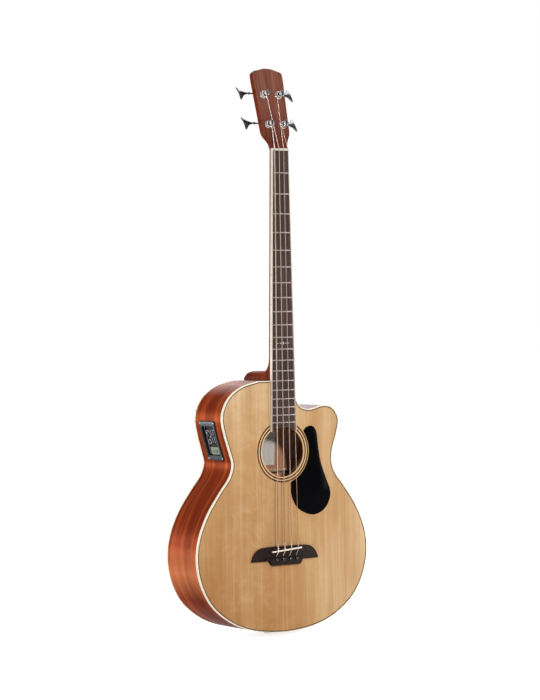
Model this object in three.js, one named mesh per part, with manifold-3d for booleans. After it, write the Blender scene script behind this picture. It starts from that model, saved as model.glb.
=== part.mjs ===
// Acoustic bass guitar with a cutaway, at its real size in millimetres.
// x runs to the treble side, y from the soundboard to the back, z up along the neck.
// Inside the body group y is 0 on the soundboard and z is 0 at the tail of the body.
// The whole part hangs from its origin, the crook under the headstock.
import * as THREE from 'three'
import * as BufferGeometryUtils from 'three/addons/utils/BufferGeometryUtils.js'
import Module from 'manifold-3d'

const wasm = await Module()
wasm.setup()

// Scale and fits
const scaleLength = 863.6
const fretCount = 20
const bodyJoinFret = 15
const gap = 0.3
const overrun = 4
const outlineSteps = 2

// Flats on round pieces
const ringFlats = 28
const roundFlats = 12
const smallFlats = 8
const leadFlats = 6
const wireFlats = 6

// Body
const lowerBoutWidth = 452
const lowerBoutHeight = 168
const waistWidth = 263
const waistAboveLowerBout = 203
const upperBoutWidth = 315
const upperBoutAboveWaist = 97
const shoulderHeight = 81.5
const hornReach = 151.5
const cutawayRoot = 26
const cutawayDepth = 64.3
const depthAtNeck = 107.5
const depthAtTail = 131
const backBulge = 7
const backArchRadius = 4500
const backSeatRoom = 0.4
const soundboardThickness = 3
const backThickness = 3
const sideThickness = 2.5
const bindingWidth = 2
const bindingHeight = 6
const liningWidth = 6
const liningHeight = 14

// Soundhole, rosette and bridge
const soundholeRadius = 55
const fretboardOverSoundhole = 12.8
const rosetteInnerRadius = 57.5
const rosetteOuterRadius = 67.8
const rosetteDepth = 1
const bridgeLength = 177
const bridgeHeightAlong = 41
const bridgeThickness = 9.5
const bridgeTipThickness = 4
const bridgeBlockLength = 96
const bridgeAheadOfSaddle = 8
const bridgePlateLength = 168
const bridgePlateWidth = 46
const bridgePlateThickness = 3
const saddleLength = 78
const saddleThickness = 3
const saddleProud = 4.4
const saddleSlotDepth = 4.5
const crownRoom = 0.3
const trebleCompensation = 3.5
const bassCompensation = 7.5
const pickupThickness = 1.2
const pinRadius = 2.6
const pinHeadRadius = 3.7
const pinHeadHeight = 3.4
const pinSetback = 20
const stringSpacingAtBridge = 18
const pickguardThickness = 1.5
const pickguardLength = 195.6
const pickguardWidth = 105.4
const pickguardFromMiddle = 20.2
const pickguardAboveHole = 53.8
const pickguardRingGap = 1.6

// Neck, fretboard and nut
const nutWidth = 43
const nutThickness = 5
const nutOverFretboard = 2.4
const stringSpacingAtNut = 12
const fretboardEndWidth = 66.4
const fretboardThickness = 7.5
const fretboardRadius = 400
const fretboardBindingWidth = 1.5
const fretboardTongue = 21.6
const fretWidth = 2.6
const fretHeight = 1.2
const neckDepthAtNut = 14
const neckDepthAtHeel = 17
const heelHeight = 20
const heelHalfWidth = 28
const heelFillet = 35
const heelCornerRadius = 12
const heelCornerShare = 0.8
const heelCapThickness = 2
const rodWidth = 6
const rodDepth = 6
const rodUnderFretboard = 6.6
const rodStopBelowNut = 60
const rodNutRadius = 4.5
const rodNutLength = 12

// Headstock
const headstockAngle = 14
const headstockLength = 182.5
const headstockHalfWidth = 38.7
const headstockThickness = 14
const veneerThickness = 2
const headstockDrop = 2
const headstockAboveNut = 1
const hangerAboveNut = 12
const upperPostHeight = 121.5
const lowerPostHeight = 53
const upperPostOffset = 20
const lowerPostOffset = 18.8

// Tuning machines
const gearTeeth = 18
const gearPitchRadius = 7
const gearThickness = 4
const wormPitchRadius = 2.4
const toothHalfDepth = 0.7
const wormLength = 9
const wormSteps = 8
const shaftRadius = 1.7
const plateThickness = 1.5
const plateWidth = 25
const plateHeight = 36
const plateRise = 3.5
const lugThickness = 2.2
const lugHalfWidth = 3.6
const lugReach = 5.6
const postRadius = 6.3
const postWaistRadius = 4.5
const postHeadRadius = 6.8
const postAboveFace = 15.5
const postHeadThickness = 3
const postSlotWidth = 3
const postSlotDepth = 4.5
const bushingFlangeRadius = 9
const bushingFlangeThickness = 1.5
const bushingWall = 1.1
const bushingLength = 9
const keyRootReach = 28
const keyLength = 23
const keyHalfSpread = 18.5
const keyThickness = 4
const keyTwist = 22
const collarRadius = 3
const collarLength = 4

// Strings, from the lowest to the highest, and the turns that each makes on its post
const stringRadii = [1.27, 1.0, 0.8, 0.57]
const stringTurns = [1.3, 1.6, 1.9, 2.1]
const stringNames = ['e', 'a', 'd', 'g']
const windingGap = 0.5
const windingSteps = 16
const ballRadius = 3
const ballLength = 4
const ballBelowPlate = 1.2
const stringBend = 4
const bendSteps = 3

// Preamp on the bass side
const preampAboveWaist = 7.3
const preampLength = 87.4
const preampFromFront = 28.8
const preampWidth = 61.4
const preampProud = 1.6
const preampSeat = 0.3
const preampCornerRadius = 6
const preampBodyWidth = 50
const preampBodyDepth = 32
const preampMargin = 7
const preampRecessWidth = 45
const preampEndBand = 12
const preampFloor = 0.4
const sliderSlotWidth = 2.6
const sliderTravel = 11
const sliderStem = 1.8
const sliderSlotDepth = 5
const sliderCapWidth = 5
const sliderCapHeight = 4
const sliderCapProud = 2.6
const sliderPitch = 7.5
const sliderLift = 8
const knobRadius = 6
const knobProud = 2.6
const knobShaftRadius = 2
const buttonRadius = 3
const buttonProud = 1.4
const buttonTravel = 0.8
const displayWidth = 24
const displayHeight = 14
const displayDepth = 0.6

// Tail
const jackRadius = 6
const jackFlangeRadius = 9.5
const jackProud = 8
const jackWaistRadius = 6.2
const jackBore = 3.3
const jackLength = 34
const neckBlockWidth = 66
const neckBlockHeight = 62
const tailBlockWidth = 84
const tailBlockHeight = 22

// Braces
const braceWidth = 8
const braceHeight = 15
const braceEndHeight = 4
const braceFromRim = 14

// Outlines as shares, bass side first, each pair across and then along
const lowerBoutShares = [[0.345, 0.048], [0.602, 0.173], [0.83, 0.408], [0.951, 0.685], [1, 1]]
const waistShares = [[0.063, 0.232], [0.3, 0.485], [0.647, 0.712], [0.919, 0.874], [1, 1]]
const upperBoutShares = [[0.266, 0.268], [0.76, 0.68], [1, 1]]
const shoulderShares = [[0.968, 0.319], [0.857, 0.632], [0.666, 0.863], [0.393, 1]]
const cutawayShares = [
  [0, 1], [0.012, 0.697], [0.097, 0.325], [0.177, 0.097], [0.34, 0], [0.478, 0.033], [0.598, 0.092],
  [0.716, 0.114], [0.821, 0.069],
]
const hornShares = [
  [0.913, 0.969], [0.977, 0.861], [1, 0.758], [0.982, 0.634], [0.928, 0.42], [0.867, 0.236],
]
const headstockShares = [
  [0.575, 0], [0.62, 0.06], [0.72, 0.113], [0.835, 0.16], [0.885, 0.205], [0.9, 0.285], [0.935, 0.493],
  [0.972, 0.68], [1, 0.91], [0.95, 0.95], [0.55, 0.98], [0.28, 0.995],
]
const bridgeShares = [
  [0.17, 1], [0.38, 1], [0.58, 0.985], [0.74, 0.93], [0.855, 0.79], [0.945, 0.56], [1, 0.3], [1, 0.25],
  [0.615, 0.25], [0.565, 0.365], [0.52, 0.36], [0.46, 0.12], [0.42, 0.02], [0.385, 0],
]
const pickguardShares = [
  [0.302, 0.925], [0.397, 0.982], [0.534, 1], [0.61, 0.976], [0.658, 0.93], [0.7, 0.767], [0.765, 0.583],
  [0.9, 0.394], [1, 0.245], [0.963, 0.143], [0.819, 0.046], [0.583, 0], [0.35, 0.026], [0.144, 0.097],
  [0.009, 0.235], [0, 0.378], [0.09, 0.51],
]
const keyShares = [
  [0, 0.14], [0.22, 0.19], [0.43, 0.36], [0.6, 0.6], [0.75, 0.86], [0.87, 1], [0.98, 0.93], [0.97, 0.5],
  [0.94, 0.15],
]
const filletShares = [0, 0.03, 0.1, 0.22, 0.4, 0.65, 1]

// Values that follow from the sizes above
const v2 = (x, y) => new THREE.Vector2(x, y)
const v3 = (x, y, z) => new THREE.Vector3(x, y, z)
const mix = THREE.MathUtils.lerp
const fretDistance = (number) => scaleLength * (1 - 2 ** (-number / 12))
const waistHeight = lowerBoutHeight + waistAboveLowerBout
const upperBoutHeight = waistHeight + upperBoutAboveWaist
const bodyLength = upperBoutHeight + shoulderHeight
const cutawayFloor = bodyLength - cutawayDepth
const nutZ = bodyLength + fretDistance(bodyJoinFret)
const fretboardEnd = nutZ - fretDistance(fretCount) - fretboardTongue
const soundholeZ = fretboardEnd + fretboardOverSoundhole - soundholeRadius
const saddleZ = nutZ - scaleLength
const saddleMiddle = saddleZ - (trebleCompensation + bassCompensation) / 2
const pinZ = saddleMiddle - pinSetback
const bridgeTop = saddleMiddle + bridgeAheadOfSaddle
const headSquareShare = 0.21
const headTipShare = 0.03
const shaftPower = 0.85
const headPower = 0.12
const heelPower = 0.57
const headTilt = THREE.MathUtils.degToRad(headstockAngle)
const woodFace = veneerThickness + gap
const headBack = woodFace + headstockThickness
const headstockFoot = nutZ + nutThickness + headstockAboveNut
const wormRadius = shaftRadius + 2 * toothHalfDepth
const gearMiddle = headBack + plateThickness + 2 * gap + wormRadius
const wormRise = gearPitchRadius + wormPitchRadius
const wormPitch = (2 * Math.PI * gearPitchRadius) / gearTeeth

// Finishes
const finish = (color, roughness, metalness = 0) =>
  new THREE.MeshStandardMaterial({ color, roughness, metalness })
const spruce = () => finish(0xcfa878, 0.4)
const mahogany = () => finish(0x9c4a26, 0.4)
const blockwood = () => finish(0xb98a5c, 0.7)
const darkwood = () => finish(0x2d2220, 0.5)
const ivory = () => finish(0xeee6d2, 0.4)
const chrome = () => finish(0xc9ccd0, 0.15, 1)
const darkChrome = () => finish(0x8b8d92, 0.2, 1)
const bronze = () => finish(0xc0a283, 0.35, 1)
const blackPlastic = () => finish(0x141416, 0.2)
const slatePlastic = () => finish(0x3c4650, 0.45)

// Turns the faces outwards where the enclosed volume comes out negative.
function outward(geometry) {
  const place = geometry.attributes.position
  const index = geometry.index ? Array.from(geometry.index.array) : [...Array(place.count).keys()]
  const corner = (k) => new THREE.Vector3().fromBufferAttribute(place, index[k])
  let volume = 0
  for (let k = 0; k < index.length; k += 3) {
    volume += corner(k).dot(corner(k + 1).cross(corner(k + 2)))
  }
  if (volume < 0) {
    for (let k = 0; k < index.length; k += 3) [index[k + 1], index[k + 2]] = [index[k + 2], index[k + 1]]
    geometry.setIndex(index)
  }
  geometry.computeVertexNormals()
  return geometry
}

// Triangles over a flat ring of points, as index triples turned one way.
function capTriangles(ring) {
  const normal = v3(0, 0, 0)
  ring.forEach((point, i) => normal.add(point.clone().cross(ring[(i + 1) % ring.length])))
  normal.normalize()
  const across = v3(1, 0, 0)
  if (Math.abs(normal.x) > Math.abs(normal.y)) across.set(0, 1, 0)
  across.cross(normal).normalize()
  const along = normal.clone().cross(across)
  const flat = ring.map((point) => v2(point.dot(across), point.dot(along)))
  return THREE.ShapeUtils.triangulateShape(flat, []).map(([a, b, c]) => {
    const turn = flat[b].clone().sub(flat[a]).cross(flat[c].clone().sub(flat[a]))
    return turn > 0 ? [a, b, c] : [a, c, b]
  })
}

// Skins rings of the same number of points, and closes the ends unless the rings run round.
function loft(rings, round = false) {
  const count = rings[0].length
  const index = []
  const spans = round ? rings.length : rings.length - 1
  for (let r = 0; r < spans; r++) {
    const next = (r + 1) % rings.length
    for (let i = 0; i < count; i++) {
      const j = (i + 1) % count
      const [a, b] = [r * count + i, r * count + j]
      const [c, d] = [next * count + j, next * count + i]
      index.push(a, b, c, a, c, d)
    }
  }
  if (!round) {
    const last = (rings.length - 1) * count
    capTriangles(rings[0]).forEach(([a, b, c]) => index.push(a, c, b))
    capTriangles(rings[0]).forEach(([a, b, c]) => index.push(last + a, last + b, last + c))
  }
  const geometry = new THREE.BufferGeometry()
  const numbers = rings.flat().flatMap((point) => [point.x, point.y, point.z])
  geometry.setAttribute('position', new THREE.Float32BufferAttribute(numbers, 3))
  geometry.setIndex(index)
  return outward(geometry)
}

// Booleans
function solidOf(geometry) {
  const bare = geometry.clone()
  bare.deleteAttribute('normal')
  bare.deleteAttribute('uv')
  const merged = BufferGeometryUtils.mergeVertices(bare)
  const index = merged.index.array
  const kept = []
  for (let k = 0; k < index.length; k += 3) {
    const [a, b, c] = [index[k], index[k + 1], index[k + 2]]
    if (a !== b && b !== c && c !== a) kept.push(a, b, c)
  }
  const vertProperties = merged.attributes.position.array
  return new wasm.Manifold(new wasm.Mesh({ numProp: 3, vertProperties, triVerts: Uint32Array.from(kept) }))
}

function geometryOf(solid) {
  const mesh = solid.getMesh()
  const geometry = new THREE.BufferGeometry()
  geometry.setAttribute('position', new THREE.Float32BufferAttribute(mesh.vertProperties, 3))
  geometry.setIndex(Array.from(mesh.triVerts))
  geometry.computeVertexNormals()
  return geometry
}

const fuse = (...pieces) => geometryOf(pieces.map(solidOf).reduce((a, b) => a.add(b)))
const cut = (piece, ...tools) =>
  geometryOf(tools.map(solidOf).reduce((a, b) => a.subtract(b), solidOf(piece)))
const common = (a, b) => geometryOf(solidOf(a).intersect(solidOf(b)))

// Simple shapes
function box(x0, x1, y0, y1, z0, z1) {
  const geometry = new THREE.BoxGeometry(x1 - x0, y1 - y0, z1 - z0)
  return geometry.translate((x0 + x1) / 2, (y0 + y1) / 2, (z0 + z1) / 2)
}

// A plate of a shape drawn across x and z, from y to y + thickness.
function plate(points, thickness, y = 0) {
  const shape = new THREE.Shape(points)
  const geometry = new THREE.ExtrudeGeometry(shape, { depth: thickness, bevelEnabled: false })
  return geometry.rotateX(Math.PI / 2).translate(0, y + thickness, 0)
}

// A turned piece whose axis is y, from pairs of radius and y.
function turned(profile, sides = roundFlats) {
  return outward(new THREE.LatheGeometry(profile.map(([r, y]) => v2(r, y)), sides))
}

// A turned disc or tube piece between two heights.
const disc = (radius, y0, y1, sides = roundFlats) =>
  turned([[0, y0], [radius, y0], [radius, y1], [0, y1]], sides)

// A smooth line through points on the plane, with the same number of steps between each two.
function smooth(points, steps) {
  const curve = new THREE.CatmullRomCurve3(points.map((p) => v3(p.x, p.y, 0)), false, 'centripetal')
  return curve.getPoints((points.length - 1) * steps).map((p) => v2(p.x, p.y))
}

// A closed tube along points, with its own radius at each of them.
function wire(points, radii, sides = wireFlats) {
  const rings = []
  let side = null
  points.forEach((point, i) => {
    const before = points[Math.max(i - 1, 0)]
    const after = points[Math.min(i + 1, points.length - 1)]
    const heading = after.clone().sub(before).normalize()
    if (!side) side = v3(1, 0, 0).cross(heading).normalize()
    side.sub(heading.clone().multiplyScalar(side.dot(heading))).normalize()
    const other = heading.clone().cross(side)
    const radius = Array.isArray(radii) ? radii[i] : radii
    const ring = [...Array(sides).keys()].map((k) => {
      const angle = (2 * Math.PI * k) / sides
      const spoke = side.clone().multiplyScalar(Math.cos(angle)).addScaledVector(other, Math.sin(angle))
      return point.clone().addScaledVector(spoke, radius)
    })
    rings.push(ring)
  })
  return loft(rings)
}

// Body outline, clockwise from the middle of the neck joint, with the index of the tail's middle.
function bodyOutline() {
  const lowerHalf = lowerBoutWidth / 2
  const waistHalf = waistWidth / 2
  const upperHalf = upperBoutWidth / 2
  const lower = lowerBoutShares.map(([a, b]) => v2(lowerHalf * a, lowerBoutHeight * b))
  const waist = waistShares.map(([a, b]) =>
    v2(mix(lowerHalf, waistHalf, a), mix(lowerBoutHeight, waistHeight, b)))
  const upper = upperBoutShares.map(([a, b]) =>
    v2(mix(waistHalf, upperHalf, a), mix(waistHeight, upperBoutHeight, b)))
  const shoulder = shoulderShares.map(([a, b]) => v2(upperHalf * a, mix(upperBoutHeight, bodyLength, b)))
  const bay = cutawayShares.map(([a, b]) =>
    v2(mix(cutawayRoot, hornReach, a), mix(cutawayFloor, bodyLength, b)))
  const horn = hornShares.map(([a, b]) =>
    v2(mix(cutawayRoot, hornReach, a), mix(waistHeight, cutawayFloor, b)))
  const cutaway = [...bay, ...horn]
  const rise = [...lower, ...waist]
  const bass = [...rise, ...upper, ...shoulder].map((p) => v2(-p.x, p.y))
  const points = [...cutaway, ...rise.slice().reverse(), v2(0, 0), ...bass]
  const tail = 1 + (cutaway.length + rise.length) * outlineSteps
  return { line: [v2(0, bodyLength), ...smooth(points, outlineSteps)], tail }
}

const { line: outline, tail: tailIndex } = bodyOutline()

// The outline moved inwards by a distance, with mitred corners.
function inset(distance) {
  const edgeNormal = (a, b) => v2(b.y - a.y, a.x - b.x).normalize()
  return outline.map((point, i) => {
    const before = outline[(i + outline.length - 1) % outline.length]
    const after = outline[(i + 1) % outline.length]
    const first = edgeNormal(before, point)
    const second = edgeNormal(point, after)
    const mitre = first.clone().add(second).divideScalar(1 + first.dot(second))
    return point.clone().addScaledVector(mitre, distance)
  })
}

// The back's outer surface: a taper from neck to tail, a bulge along it and an arch across it.
function backAt(x, z) {
  const down = 1 - z / bodyLength
  const middle = mix(depthAtNeck, depthAtTail, down) + 4 * backBulge * down * (1 - down)
  return middle - (x * x) / (2 * backArchRadius)
}

// Where a piece glued to the inside of the back ends.
const backSeat = (x, z) => backAt(x, z) - backThickness - gap - backSeatRoom

// A strip along the rim: each corner is an inset and a depth from the front, or from the back if behind.
function rimStrip(corners, from, to) {
  const lines = corners.map(([distance]) => inset(distance))
  const rings = []
  for (let i = from; i <= to; i++) {
    rings.push(corners.map(([, depth, behind], k) => {
      const point = lines[k][i % outline.length]
      return v3(point.x, behind ? backAt(point.x, point.y) - depth : depth, point.y)
    }))
  }
  return rings
}

const wholeRim = (corners) => loft(rimStrip(corners, 0, outline.length - 1), true)

function side(from, to) {
  const edge = bindingHeight + gap
  const corners = [[0, edge, false], [0, edge, true], [sideThickness, edge, true],
    [sideThickness, edge, false]]
  return loft(rimStrip(corners, from, to))
}

function binding(behind) {
  return wholeRim([[0, 0, behind], [0, bindingHeight, behind], [bindingWidth, bindingHeight, behind],
    [bindingWidth, 0, behind]])
}

// The strip that joins side and plate, or the room for it when it is swollen by a clearance.
const liningTipShare = 6
const liningFootShare = 3

function lining(behind, swell = 0) {
  const plateDepth = behind ? backThickness : soundboardThickness
  const outer = sideThickness + gap - swell
  const near = plateDepth + gap - swell
  return wholeRim([[outer, near, behind], [outer, near + liningHeight + swell * liningTipShare, behind],
    [outer + liningWidth + swell * liningFootShare, near, behind]])
}

function soundboard() {
  const edge = inset(bindingWidth + gap)
  const board = plate(edge, soundboardThickness)
  const tools = [disc(soundholeRadius, -overrun, soundboardThickness + overrun, ringFlats)]
  const ring = [[rosetteInnerRadius - gap, -overrun], [rosetteOuterRadius + gap, -overrun],
    [rosetteOuterRadius + gap, rosetteDepth + gap], [rosetteInnerRadius - gap, rosetteDepth + gap],
    [rosetteInnerRadius - gap, -overrun]]
  tools.push(turned(ring, ringFlats))
  tools.forEach((tool) => tool.translate(0, 0, soundholeZ))
  return cut(board, ...tools, ...pinHoles())
}

function rosette() {
  const ring = [[rosetteInnerRadius, 0], [rosetteOuterRadius, 0], [rosetteOuterRadius, rosetteDepth],
    [rosetteInnerRadius, rosetteDepth], [rosetteInnerRadius, 0]]
  return turned(ring, ringFlats).translate(0, 0, soundholeZ)
}

// The back plate: rings of the outline drawn towards a middle point, on its outer and inner faces.
function backPlate() {
  const edge = inset(bindingWidth + gap)
  const middle = v2(0, (lowerBoutHeight + waistHeight) / 2)
  const ringShares = [0.02, 0.55, 1]
  const ringAt = (share, depth) => edge.map((point) => {
    const spot = middle.clone().lerp(point, share)
    return v3(spot.x, backAt(spot.x, spot.y) - depth, spot.y)
  })
  const outer = ringShares.map((share) => ringAt(share, 0))
  const inner = ringShares.slice().reverse().map((share) => ringAt(share, backThickness))
  return loft([...outer, ...inner])
}

// A block between soundboard and back, notched over the linings.
function endBlock(halfWidth, z0, z1) {
  const ring = (z) => [-1, 1].flatMap((hand) => {
    const x = hand * halfWidth
    const depths = [soundboardThickness + gap, backSeat(x, z)]
    if (hand > 0) depths.reverse()
    return depths.map((y) => v3(x, y, z))
  })
  return cut(loft([ring(z0), ring(z1)]), lining(false, gap), lining(true, gap))
}

function neckBlock() {
  const top = bodyLength - sideThickness - gap
  const low = top - neckBlockHeight
  const block = endBlock(neckBlockWidth / 2, low, top)
  const cutawayFace = cutawayRoot - sideThickness - gap
  const beside = box(cutawayFace, neckBlockWidth, -overrun, depthAtTail + overrun, low - overrun, nutZ)
  const key = rodNut(rodNutRadius + gap, low - overrun, rodNutLength + 2 * overrun)
  return cut(block, beside, rodTunnel(), key)
}

function tailBlock() {
  const low = sideThickness + gap
  return cut(endBlock(tailBlockWidth / 2, low, low + tailBlockHeight), tailCurveTool(), jackHole(gap))
}

// What lies outside the inner face of the sides, where the tail block has to stop.
function tailCurveTool() {
  const inner = inset(sideThickness + gap)
  const reach = Math.ceil(tailIndex / 4)
  const curve = inner.slice(tailIndex - reach, tailIndex + reach + 1)
  const low = v2(0, -lowerBoutHeight)
  const points = [...curve, v2(-lowerBoutWidth, low.y), v2(lowerBoutWidth, low.y)]
  return plate(points, depthAtTail + 2 * overrun, -overrun)
}

// A brace from one point to another, on the soundboard or on the back.
function brace(from, to, onBack, height = braceHeight) {
  const across = v2(to.y - from.y, from.x - to.x).normalize().multiplyScalar(braceWidth / 2)
  const stationShares = [[0, 0], [0.12, 0.5], [0.3, 1], [0.5, 1], [0.7, 1], [0.88, 0.5], [1, 0]]
  return loft(stationShares.map(([share, lift]) => {
    const spot = from.clone().lerp(to, share)
    const tall = mix(braceEndHeight, height, lift)
    const foot = (side) => {
      const p = spot.clone().addScaledVector(across, side)
      const base = onBack ? backSeat(p.x, p.y) : soundboardThickness + gap
      return [p, base]
    }
    const rise = (side, share2) => {
      const [p, base] = foot(side)
      return v3(p.x, onBack ? base - tall * share2 : base + tall * share2, p.y)
    }
    return [rise(-1, 0), rise(-1, 0.8), rise(0, 1), rise(1, 0.8), rise(1, 0)]
  }))
}

// The half-width of the body inside its linings at a height, on the bass side.
function innerHalfAt(z) {
  const bass = outline.slice(tailIndex)
  const above = bass.findIndex((point) => point.y >= z)
  const [low, high] = [bass[above - 1], bass[above]]
  return -mix(low.x, high.x, (z - low.y) / (high.y - low.y)) - braceFromRim
}

function xBrace() {
  const crossing = soundholeZ - soundholeRadius - braceWidth * 3.5
  const clear = braceWidth * 1.75
  const plateTop = bridgePlateMiddle() + bridgePlateWidth / 2
  const slope = (crossing - plateTop - clear) / (bridgePlateLength / 2 + clear)
  const underUpperBrace = (upperBraceHeight() - braceWidth * 2 - crossing) / slope
  const reach = Math.min(waistWidth / 2 - braceFromRim - braceWidth, underUpperBrace)
  const footReach = reach * 1.35
  const foot = v2(footReach, crossing - footReach * slope)
  const head = v2(reach, crossing + reach * slope)
  const bass = brace(v2(-head.x, head.y), foot, false)
  const treble = brace(head, v2(-foot.x, foot.y), false)
  return fuse(bass, treble)
}

const upperBraceHeight = () => soundholeZ + soundholeRadius + braceWidth * 1.3

function upperBrace() {
  const z = upperBraceHeight()
  const half = innerHalfAt(z) - braceWidth
  return brace(v2(-half, z), v2(half - braceWidth, z), false)
}

function toneBar() {
  const z = (pinZ - bridgePlateWidth / 2) / 2
  const half = bridgePlateLength / 2
  return brace(v2(-half, z + braceWidth * 2), v2(half, z - braceWidth), false, braceHeight * 0.7)
}

const backBraceHeights = () => [upperBoutHeight - braceWidth * 3, mix(lowerBoutHeight, waistHeight, 0.88),
  lowerBoutHeight * 1.15]

function backBrace(z) {
  const half = innerHalfAt(z) - braceWidth / 2
  return brace(v2(-half, z), v2(half - braceWidth, z), true)
}

// Bridge
const stringAcross = (i, spacing) => (i - (stringRadii.length - 1) / 2) * spacing
const pinX = (i) => stringAcross(i, stringSpacingAtBridge)
const saddleTop = -(bridgeThickness + gap + saddleProud)
const saddleZAt = (x) =>
  saddleZ - mix(bassCompensation, trebleCompensation, 0.5 + x / (stringSpacingAtBridge * 3))
const stringHoleZ = (i) => pinZ + pinRadius + gap + stringRadii[i]

function pinHoles() {
  return stringRadii.flatMap((radius, i) => {
    const deep = soundboardThickness + gap + bridgePlateThickness + overrun
    const pin = disc(pinRadius + gap, -bridgeThickness - overrun, deep, smallFlats)
    const lead = disc(radius + gap, -bridgeThickness / 2, deep, leadFlats)
    return [pin.translate(pinX(i), 0, pinZ), lead.translate(pinX(i), 0, stringHoleZ(i))]
  })
}

// A slot across the bridge along the saddle's slant.
function saddleSlot(length, width, y0, y1) {
  const slant = Math.atan2(bassCompensation - trebleCompensation, stringSpacingAtBridge * 3)
  const geometry = box(-length / 2, length / 2, y0, y1, -width / 2, width / 2)
  return geometry.rotateY(-slant).translate(0, 0, saddleMiddle)
}

function bridge() {
  const half = bridgeLength / 2
  const low = bridgeTop - bridgeHeightAlong
  const right = bridgeShares.map(([a, b]) => v2(half * a, mix(low, bridgeTop, b)))
  const left = right.map((p) => v2(-p.x, p.y)).reverse()
  const body = plate([...right, ...left], bridgeThickness, -bridgeThickness - gap)
  const blockHalf = bridgeBlockLength / 2
  const under = -gap
  const top = under - bridgeThickness
  const tip = under - bridgeTipThickness
  const cove = mix(top, tip, 0.75)
  const elevation = [[-half, under], [-half, tip], [-mix(blockHalf, half, 0.5), cove], [-blockHalf, top],
    [blockHalf, top], [mix(blockHalf, half, 0.5), cove], [half, tip], [half, under]]
  const ring = (z) => elevation.map(([x, y]) => v3(x * 1.001, y, z))
  const envelope = loft([ring(low - overrun), ring(bridgeTop + overrun)])
  const room = 2 * gap
  const slot = saddleSlot(saddleLength + room, saddleThickness + room, top - overrun, top + saddleSlotDepth)
  const leads = stringRadii.map((radius, i) => wire(bridgeRoute(i), radius + gap))
  return cut(common(body, envelope), slot, ...pinHoles(), ...leads)
}

function saddle() {
  const foot = -gap - bridgeThickness + saddleSlotDepth - gap - pickupThickness - gap
  return saddleSlot(saddleLength, saddleThickness, saddleTop, foot)
}

function pickup() {
  const foot = -gap - bridgeThickness + saddleSlotDepth - gap
  return saddleSlot(saddleLength - overrun, saddleThickness - gap, foot - pickupThickness, foot)
}

const bridgePlateMiddle = () => (pinZ + saddleMiddle) / 2

function bridgePlate() {
  const near = soundboardThickness + gap
  const middle = bridgePlateMiddle()
  const slab = box(-bridgePlateLength / 2, bridgePlateLength / 2, near, near + bridgePlateThickness,
    middle - bridgePlateWidth / 2, middle + bridgePlateWidth / 2)
  return cut(slab, ...pinHoles())
}

function bridgePin(i) {
  const seat = -gap - bridgeThickness - gap
  const foot = soundboardThickness + gap + bridgePlateThickness
  return turned([[0, foot], [pinRadius * 0.85, foot], [pinRadius, seat], [pinHeadRadius, seat],
    [pinHeadRadius, seat - pinHeadHeight * 0.5], [pinHeadRadius * 0.6, seat - pinHeadHeight],
    [0, seat - pinHeadHeight]], smallFlats).translate(pinX(i), 0, pinZ)
}

function pickguard() {
  const top = soundholeZ + pickguardAboveHole
  const low = top - pickguardLength
  const far = pickguardFromMiddle + pickguardWidth
  const points = pickguardShares.map(([a, b]) => v2(mix(pickguardFromMiddle, far, a), mix(low, top, b)))
  const sheet = plate(smooth(points, outlineSteps), pickguardThickness, -gap - pickguardThickness)
  const ring = disc(rosetteOuterRadius + pickguardRingGap, -overrun, overrun, ringFlats)
  return cut(sheet, ring.translate(0, 0, soundholeZ))
}

// Fretboard, with its frets as ridges on the arch
const fretProfile = [[-1, 0], [-0.45, 1], [0.45, 1], [1, 0]]
const fretboardHalf = (z) => mix(nutWidth, fretboardEndWidth, (nutZ - z) / (nutZ - fretboardEnd)) / 2
const camber = (x) => (x * x) / (2 * fretboardRadius)
const fretboardTop = -gap - fretboardThickness

// A ring across the neck whose top follows the fretboard's arch.
function archedRing(half, z, foot, top, stations = 3) {
  const ring = [v3(half, foot, z), v3(-half, foot, z)]
  for (let k = 0; k <= stations; k++) {
    const x = mix(-half, half, k / stations)
    ring.push(v3(x, top + camber(x), z))
  }
  return ring
}

// The room that the soundhole's edge, wider by a distance, takes from the fretboard's end.
function endCurve(distance) {
  const reach = 2 * overrun
  const round = disc(soundholeRadius + distance, fretboardTop - reach, reach, ringFlats)
  return round.translate(0, 0, soundholeZ)
}

function fretboard() {
  const wood = (z) => fretboardHalf(z) - fretboardBindingWidth - gap
  const low = fretboardEnd + fretboardBindingWidth + gap
  const profile = [[nutZ - gap, 0]]
  for (let n = 1; n <= fretCount; n++) {
    const z = nutZ - fretDistance(n)
    fretProfile.forEach(([share, lift]) => profile.push([z - (share * fretWidth) / 2, lift * fretHeight]))
  }
  profile.push([low, 0])
  const board = loft(profile.map(([z, lift]) => archedRing(wood(z), z, -gap, fretboardTop - lift)))
  return cut(board, endCurve(fretboardBindingWidth + gap))
}

function fretboardBinding() {
  const outerRing = (z) => archedRing(fretboardHalf(z), z, -gap, fretboardTop)
  const innerHalf = (z) => fretboardHalf(z) - fretboardBindingWidth
  const innerRing = (z) => archedRing(innerHalf(z), z, overrun, fretboardTop - overrun)
  const outer = loft([outerRing(nutZ - gap), outerRing(fretboardEnd)])
  const inner = loft([innerRing(nutZ + overrun), innerRing(fretboardEnd + fretboardBindingWidth)])
  return cut(outer, cut(inner, endCurve(fretboardBindingWidth)), endCurve(0))
}

// Neck, with the heel and headstock in one piece
const headPoint = (x, y, s) => v3(x, -headstockDrop + y * Math.cos(headTilt) + s * Math.sin(headTilt),
  headstockFoot + s * Math.cos(headTilt) - y * Math.sin(headTilt))

// The neck's section: a flat top and a round back, squarer as the power nears zero.
function neckSection(half, depth, power, place) {
  const steps = 8
  return [...Array(steps + 1).keys()].map((k) => {
    const angle = (Math.PI * k) / steps
    const x = -Math.sign(Math.cos(angle)) * half * Math.abs(Math.cos(angle)) ** power
    return place(x, depth * Math.sin(angle) ** power)
  })
}

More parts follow.
